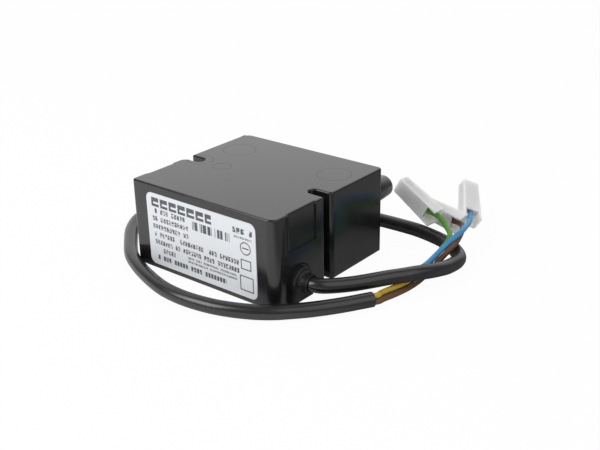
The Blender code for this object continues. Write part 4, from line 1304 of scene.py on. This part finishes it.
@dataclass
class Core:
    """One insulated core from the cut end of the jacket to its connector."""

    label: str
    finish: Finish
    angle: float
    connector: str
    route: tuple[Point, ...]
    diameter: float = 2.8
    spread: float = 1.6
    start_gap: float = 0.55
    inside: float = 1.4
    straight: float = 2.0
    step_along: float = -8.0
    crimp_along: float = -2.3
    spacing: float = 0.9

    def path(self, jacket_route: tuple[Point, ...]) -> np.ndarray:
        """Follow the core from inside the jacket to the crimp.

        Args:
            jacket_route: The jacket's route, whose last two points give the way out.

        Returns:
            The points of its middle line.
        """
        end = np.array(jacket_route[-1])
        way = unit((end - jacket_route[-2]) * (1.0, 1.0, 0.0))
        turn = math.radians(self.angle)
        offset = (np.cross(way, UP) * math.cos(turn) + np.array(UP) * math.sin(turn)) * self.spread
        start = end + way * self.start_gap + offset
        seat = SEATS[self.connector]
        points = [start - way * self.inside, start + way * self.straight, *self.route]
        return smooth_route([*points, seat.at(self.step_along), seat.at(self.crimp_along)], self.spacing)

    def dress(self, wardrobe: Wardrobe, jacket_route: tuple[Point, ...]) -> Object:
        """Args:
            wardrobe: The finishes.
            jacket_route: The jacket's route.

        Returns:
            The core's object.
        """
        path = self.path(jacket_route)
        radius = self.diameter / 2
        surface = swept(path, 28, radius, [(0.0, radius)])
        insulation = wardrobe.get(self.finish)
        made = piece(f"insulated_{self.label}", surface, insulation, [f"core_{self.label}"])
        return made


SEATS = {
    "earth": Seat((49.5, 69.6, 19.1), (-0.873, 0.109, 0.475)),
    "brown": Seat((57.5, 80.2, 9.7), (-0.972, -0.02, 0.235)),
    "blue": Seat((64.2, 99.5, 11.9), (-0.511, 0.769, 0.385)),
}
CORD_ROUTE = (
    (54.4, -25.4, 9.9), (57.6, -24.0, 9.8), (60.5, -20.8, 9.5), (63.7, -16.7, 9.2), (67.1, -12.0, 9.0),
    (70.4, -7.1, 9.0), (73.6, -1.9, 9.0), (76.8, 3.3, 9.0), (80.3, 8.1, 9.0), (83.4, 13.6, 8.8),
    (86.8, 22.4, 7.6), (88.1, 29.6, 6.2), (88.5, 36.5, 4.8), (88.2, 45.6, 3.9), (85.6, 52.0, 3.7),
    (78.7, 58.3, 3.65), (68.6, 63.4, 3.65), (53.5, 66.7, 3.65), (40.7, 67.0, 3.65), (29.1, 66.4, 3.65),
    (10.6, 65.0, 3.65), (-14.4, 61.5, 3.65), (-39.4, 53.0, 3.65), (-59.4, 39.0, 3.65),
    (-73.4, 20.0, 3.65), (-80.4, 3.0, 3.65), (-79.8, -10.0, 3.65), (-72.6, -22.4, 3.65),
    (-61.6, -33.5, 3.65), (-48.5, -44.8, 3.65), (-36.1, -51.7, 3.65), (-23.4, -56.9, 3.65),
    (-10.1, -61.0, 3.65), (0.6, -62.4, 3.65), (9.9, -62.3, 3.65), (18.3, -61.2, 3.65),
    (25.7, -59.5, 3.65), (32.5, -57.1, 3.65), (38.8, -54.2, 3.65), (43.7, -51.4, 3.65),
    (49.1, -47.4, 3.65), (53.8, -42.8, 3.65), (58.6, -37.8, 3.65), (62.4, -33.2, 3.65),
    (65.8, -28.7, 3.65), (69.1, -24.0, 3.65), (72.2, -19.1, 3.65), (77.1, -11.0, 3.65),
)
GREEN_YELLOW_ROUTE = (
    (77.4, -5.0, 4.4), (78.6, 2.0, 4.2), (79.8, 8.8, 4.1), (80.2, 15.0, 4.0), (78.9, 20.0, 3.9),
    (77.0, 25.0, 3.6), (76.0, 30.0, 2.4), (75.7, 36.0, 1.9), (75.7, 44.0, 2.7), (76.5, 50.4, 5.6),
    (77.3, 55.7, 9.0), (74.9, 60.6, 10.4), (70.1, 64.9, 11.5), (65.3, 67.7, 13.5), (60.2, 68.6, 14.8),
)
BROWN_ROUTE = (
    (79.8, -6.4, 2.7), (80.6, -1.0, 2.3), (81.3, 5.0, 1.9), (81.9, 12.0, 1.6), (81.9, 20.6, 1.5),
    (80.8, 30.0, 1.5), (79.6, 38.0, 1.7), (79.5, 43.9, 3.0), (81.2, 48.4, 6.4), (82.2, 53.8, 9.1),
    (79.6, 63.4, 9.7), (74.8, 74.0, 8.9), (70.6, 78.6, 8.2),
)
BLUE_ROUTE = (
    (76.0, -6.4, 1.9), (76.3, -1.5, 1.6), (77.0, 5.0, 1.5), (77.9, 14.0, 1.5), (78.5, 20.0, 1.5),
    (78.3, 25.0, 1.6), (78.1, 30.0, 2.4), (77.6, 36.0, 3.8), (77.6, 43.3, 5.3), (78.6, 50.0, 8.0),
    (81.3, 55.6, 12.2), (80.8, 63.4, 12.6), (76.2, 78.0, 10.8), (71.6, 87.6, 9.6),
)

INNER_FINISHES = {
    Finish.BRASS: ("terminal_blue", "terminal_brown", "terminal_earth"),
    Finish.RESIN: ("potting_resin",),
    Finish.BOARD: ("circuit_board",),
    Finish.FERRITE: ("ferrite_core_left", "ferrite_core_right"),
    Finish.BOBBIN: ("primary_bobbin", "secondary_bobbin_left", "secondary_bobbin_right"),
    Finish.COPPER: ("primary_winding", "secondary_winding_left", "secondary_winding_right"),
    Finish.HV_LEAD: ("hv_lead_left", "hv_lead_right"),
    Finish.RED_BOX: ("discharge_capacitor",),
    Finish.YELLOW_BOX: ("suppression_capacitor",),
    Finish.DISC: ("varistor",),
    Finish.COMPONENT: ("trigger_thyristor", "rectifier_diode_1", "rectifier_diode_2"),
    Finish.RESISTOR: ("limiting_resistor",),
    Finish.BROWN: ("tail_brown",),
    Finish.BLUE: ("tail_blue",),
    Finish.GREEN_YELLOW: ("tail_green_yellow",),
}


def dress_nodes(wardrobe: Wardrobe) -> None:
    """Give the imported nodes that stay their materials."""
    for finish, nodes in INNER_FINISHES.items():
        for node in nodes:
            materials = bpy.data.objects[node].data.materials
            materials.clear()
            materials.append(wardrobe.get(finish))
            LOG.info("%s keeps its packed shape", node)


@dataclass
class Studio:
    """The camera at the photograph's angle, a soft lamp, a pale floor and a white surround."""

    position: Point = (297.48, -333.9, 213.29)
    yaw: float = 39.127
    pitch: float = 23.791
    roll: float = -1.092
    focal_share: float = 961.32 / 600
    sensor_width: float = 36.0
    lamp_place: Point = (-0.3, -0.6, 0.5)
    lamp_target: Point = (0.02, 0.02, 0.02)
    lamp_size: float = 0.5
    lamp_power: float = 2.8
    floor_size: float = 6.0
    floor_z: float = -0.0004
    floor_tone: float = 0.85
    floor_dim_tone: float = 0.3
    floor_dim_way: Point = (1.0, 0.6, 0.0)
    floor_glow: float = 0.96
    bright_way: Point = (-0.577, 0.71, 0.403)
    side_way: Point = (0.72, -0.06, 0.69)
    ambient: float = 0.8
    gloss_dim: float = 0.2
    gloss_gain: float = 0.72

    def place_camera(self) -> None:
        """Aim the camera: its view turns left by the yaw, down by the pitch, and rolls about itself."""
        yaw, pitch, roll = (math.radians(value) for value in (self.yaw, self.pitch, self.roll))
        level = Vector((-math.sin(yaw), math.cos(yaw), 0.0))
        forward = level * math.cos(pitch) - Vector(UP) * math.sin(pitch)
        right = Vector((math.cos(yaw), math.sin(yaw), 0.0))
        up = right.cross(forward)
        rolled_right = math.cos(roll) * right + math.sin(roll) * up
        rolled_up = -math.sin(roll) * right + math.cos(roll) * up
        camera = bpy.data.objects.new("camera", bpy.data.cameras.new("camera"))
        bpy.context.scene.collection.objects.link(camera)
        turn = Matrix((rolled_right, rolled_up, -forward)).transposed().to_4x4()
        camera.matrix_world = Matrix.Translation(Vector(self.position) * MM) @ turn
        camera.data.sensor_width = self.sensor_width
        camera.data.lens = self.focal_share * self.sensor_width
        camera.data.clip_start = 0.01
        camera.data.clip_end = 50.0
        bpy.context.scene.camera = camera

    def place_lamp(self) -> None:
        """Hang a square lamp that points at the middle of the part."""
        lamp = bpy.data.lights.new("key", "AREA")
        lamp.shape = "SQUARE"
        lamp.size = self.lamp_size
        lamp.energy = self.lamp_power
        made = bpy.data.objects.new("key", lamp)
        bpy.context.scene.collection.objects.link(made)
        way = Vector(self.lamp_target) - Vector(self.lamp_place)
        turn = way.to_track_quat("-Z", "Y").to_matrix().to_4x4()
        made.matrix_world = Matrix.Translation(self.lamp_place) @ turn

    def place_floor(self) -> None:
        """Lay the floor: pale, lifted to white where the camera sees it, and dimmer to the right in gloss."""
        half = self.floor_size / 2
        corners = [(x * half, y * half, self.floor_z) for x, y in ((-1, -1), (1, -1), (1, 1), (-1, 1))]
        mesh = bpy.data.meshes.new("floor")
        mesh.from_pydata(corners, [], [(0, 1, 2, 3)])
        floor = bpy.data.objects.new("floor", mesh)
        bpy.context.scene.collection.objects.link(floor)
        made, tree, shader = new_material("floor_white")
        path = tree.add("LightPath").outputs
        along = tree.vector("DOT_PRODUCT", tree.place(), self.floor_dim_way, "Value")
        dim = tree.math("MULTIPLY", tree.between(along, 0.02, 0.1), path["Is Glossy Ray"])
        pale, dark = ((*[tone] * 3, 1.0) for tone in (self.floor_tone, self.floor_dim_tone))
        values = {"Base Color": tree.blend(dim, pale, dark), "Roughness": 0.9, "Specular IOR Level": 0.0}
        tree.feed(shader, values)
        glow = tree.add("Emission", {"Color": WHITE, "Strength": 1.0})
        seen = tree.math("MULTIPLY", path["Is Camera Ray"], self.floor_glow)
        mix = tree.add("MixShader", {0: seen, 1: shader.outputs[0], 2: glow.outputs[0]})
        tree.feed(made.node_tree.nodes["Material Output"], {0: mix.outputs[0]})
        mesh.materials.append(made)

    def light_world(self) -> None:
        """Fill the surround: white to the camera and in glass, even as a light, uneven in gloss.

        In gloss the strength is the dim level, plus the gain behind the part on the left and above its
        right side, by the direction's dot products with the ways to those two.
        """
        world = bpy.data.worlds.new("surround")
        bpy.context.scene.world = world
        world.use_nodes = True
        tree = Tree(world.node_tree)
        path = tree.add("LightPath").outputs
        way = tree.add("TexCoord").outputs["Generated"]
        facing = tree.vector("DOT_PRODUCT", way, self.bright_way, "Value")
        beside = tree.vector("DOT_PRODUCT", way, self.side_way, "Value")
        bright = tree.math("MAXIMUM", tree.between(facing, 0.45, 0.9), tree.between(beside, 0.8, 0.93))
        gloss = tree.math("MULTIPLY_ADD", bright, self.gloss_gain, self.gloss_dim - self.ambient)
        gloss = tree.math("MULTIPLY_ADD", path["Is Glossy Ray"], gloss, self.ambient)
        seen = tree.math("MAXIMUM", path["Is Camera Ray"], path["Is Transmission Ray"])
        values = {"Color": WHITE, "Strength": tree.math("MAXIMUM", seen, gloss)}
        tree.feed(world.node_tree.nodes["Background"], values)

    def build(self) -> None:
        """Place the camera, the lamp, the floor and the surround."""
        self.place_camera()
        self.place_lamp()
        self.place_floor()
        self.light_world()
        bpy.context.scene.view_settings.view_transform = "Standard"


def main() -> None:
    """Build the studio and the part in order."""
    logging.basicConfig(level=logging.INFO, format="%(message)s")
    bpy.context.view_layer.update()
    Studio().build()
    wardrobe = Wardrobe()
    dress_nodes(wardrobe)
    for shape, name, finish, slot, node in (
        (Case(), "case_shell", Finish.CASE, "case_black", "case"),
        (Label(), "label_film_sheet", Finish.LABEL, "label_film", "rating_label"),
        (Bush(), "cord_bush", Finish.BUSH, "bush_black", "strain_relief"),
        (Pin(-37.6), "hv_contact_left_pin", Finish.BRASS, "contact_brass", "hv_contact_left"),
        (Pin(37.6), "hv_contact_right_pin", Finish.BRASS, "contact_brass", "hv_contact_right"),
    ):
        piece(name, shape.surface(), wardrobe.get(finish), [node])
    for connector in SEATS:
        node = f"receptacle_housing_{connector}"
        softened_copy(node, 0.3, wardrobe.get(Finish.HOUSING))
    Cord(CORD_ROUTE).dress(wardrobe)
    for core in (
        Core("green_yellow", Finish.GREEN_YELLOW, 90.0, "earth", GREEN_YELLOW_ROUTE),
        Core("brown", Finish.BROWN, 330.0, "brown", BROWN_ROUTE),
        Core("blue", Finish.BLUE, 205.0, "blue", BLUE_ROUTE),
    ):
        core.dress(wardrobe, CORD_ROUTE)


if __name__ == "__main__":
    main()
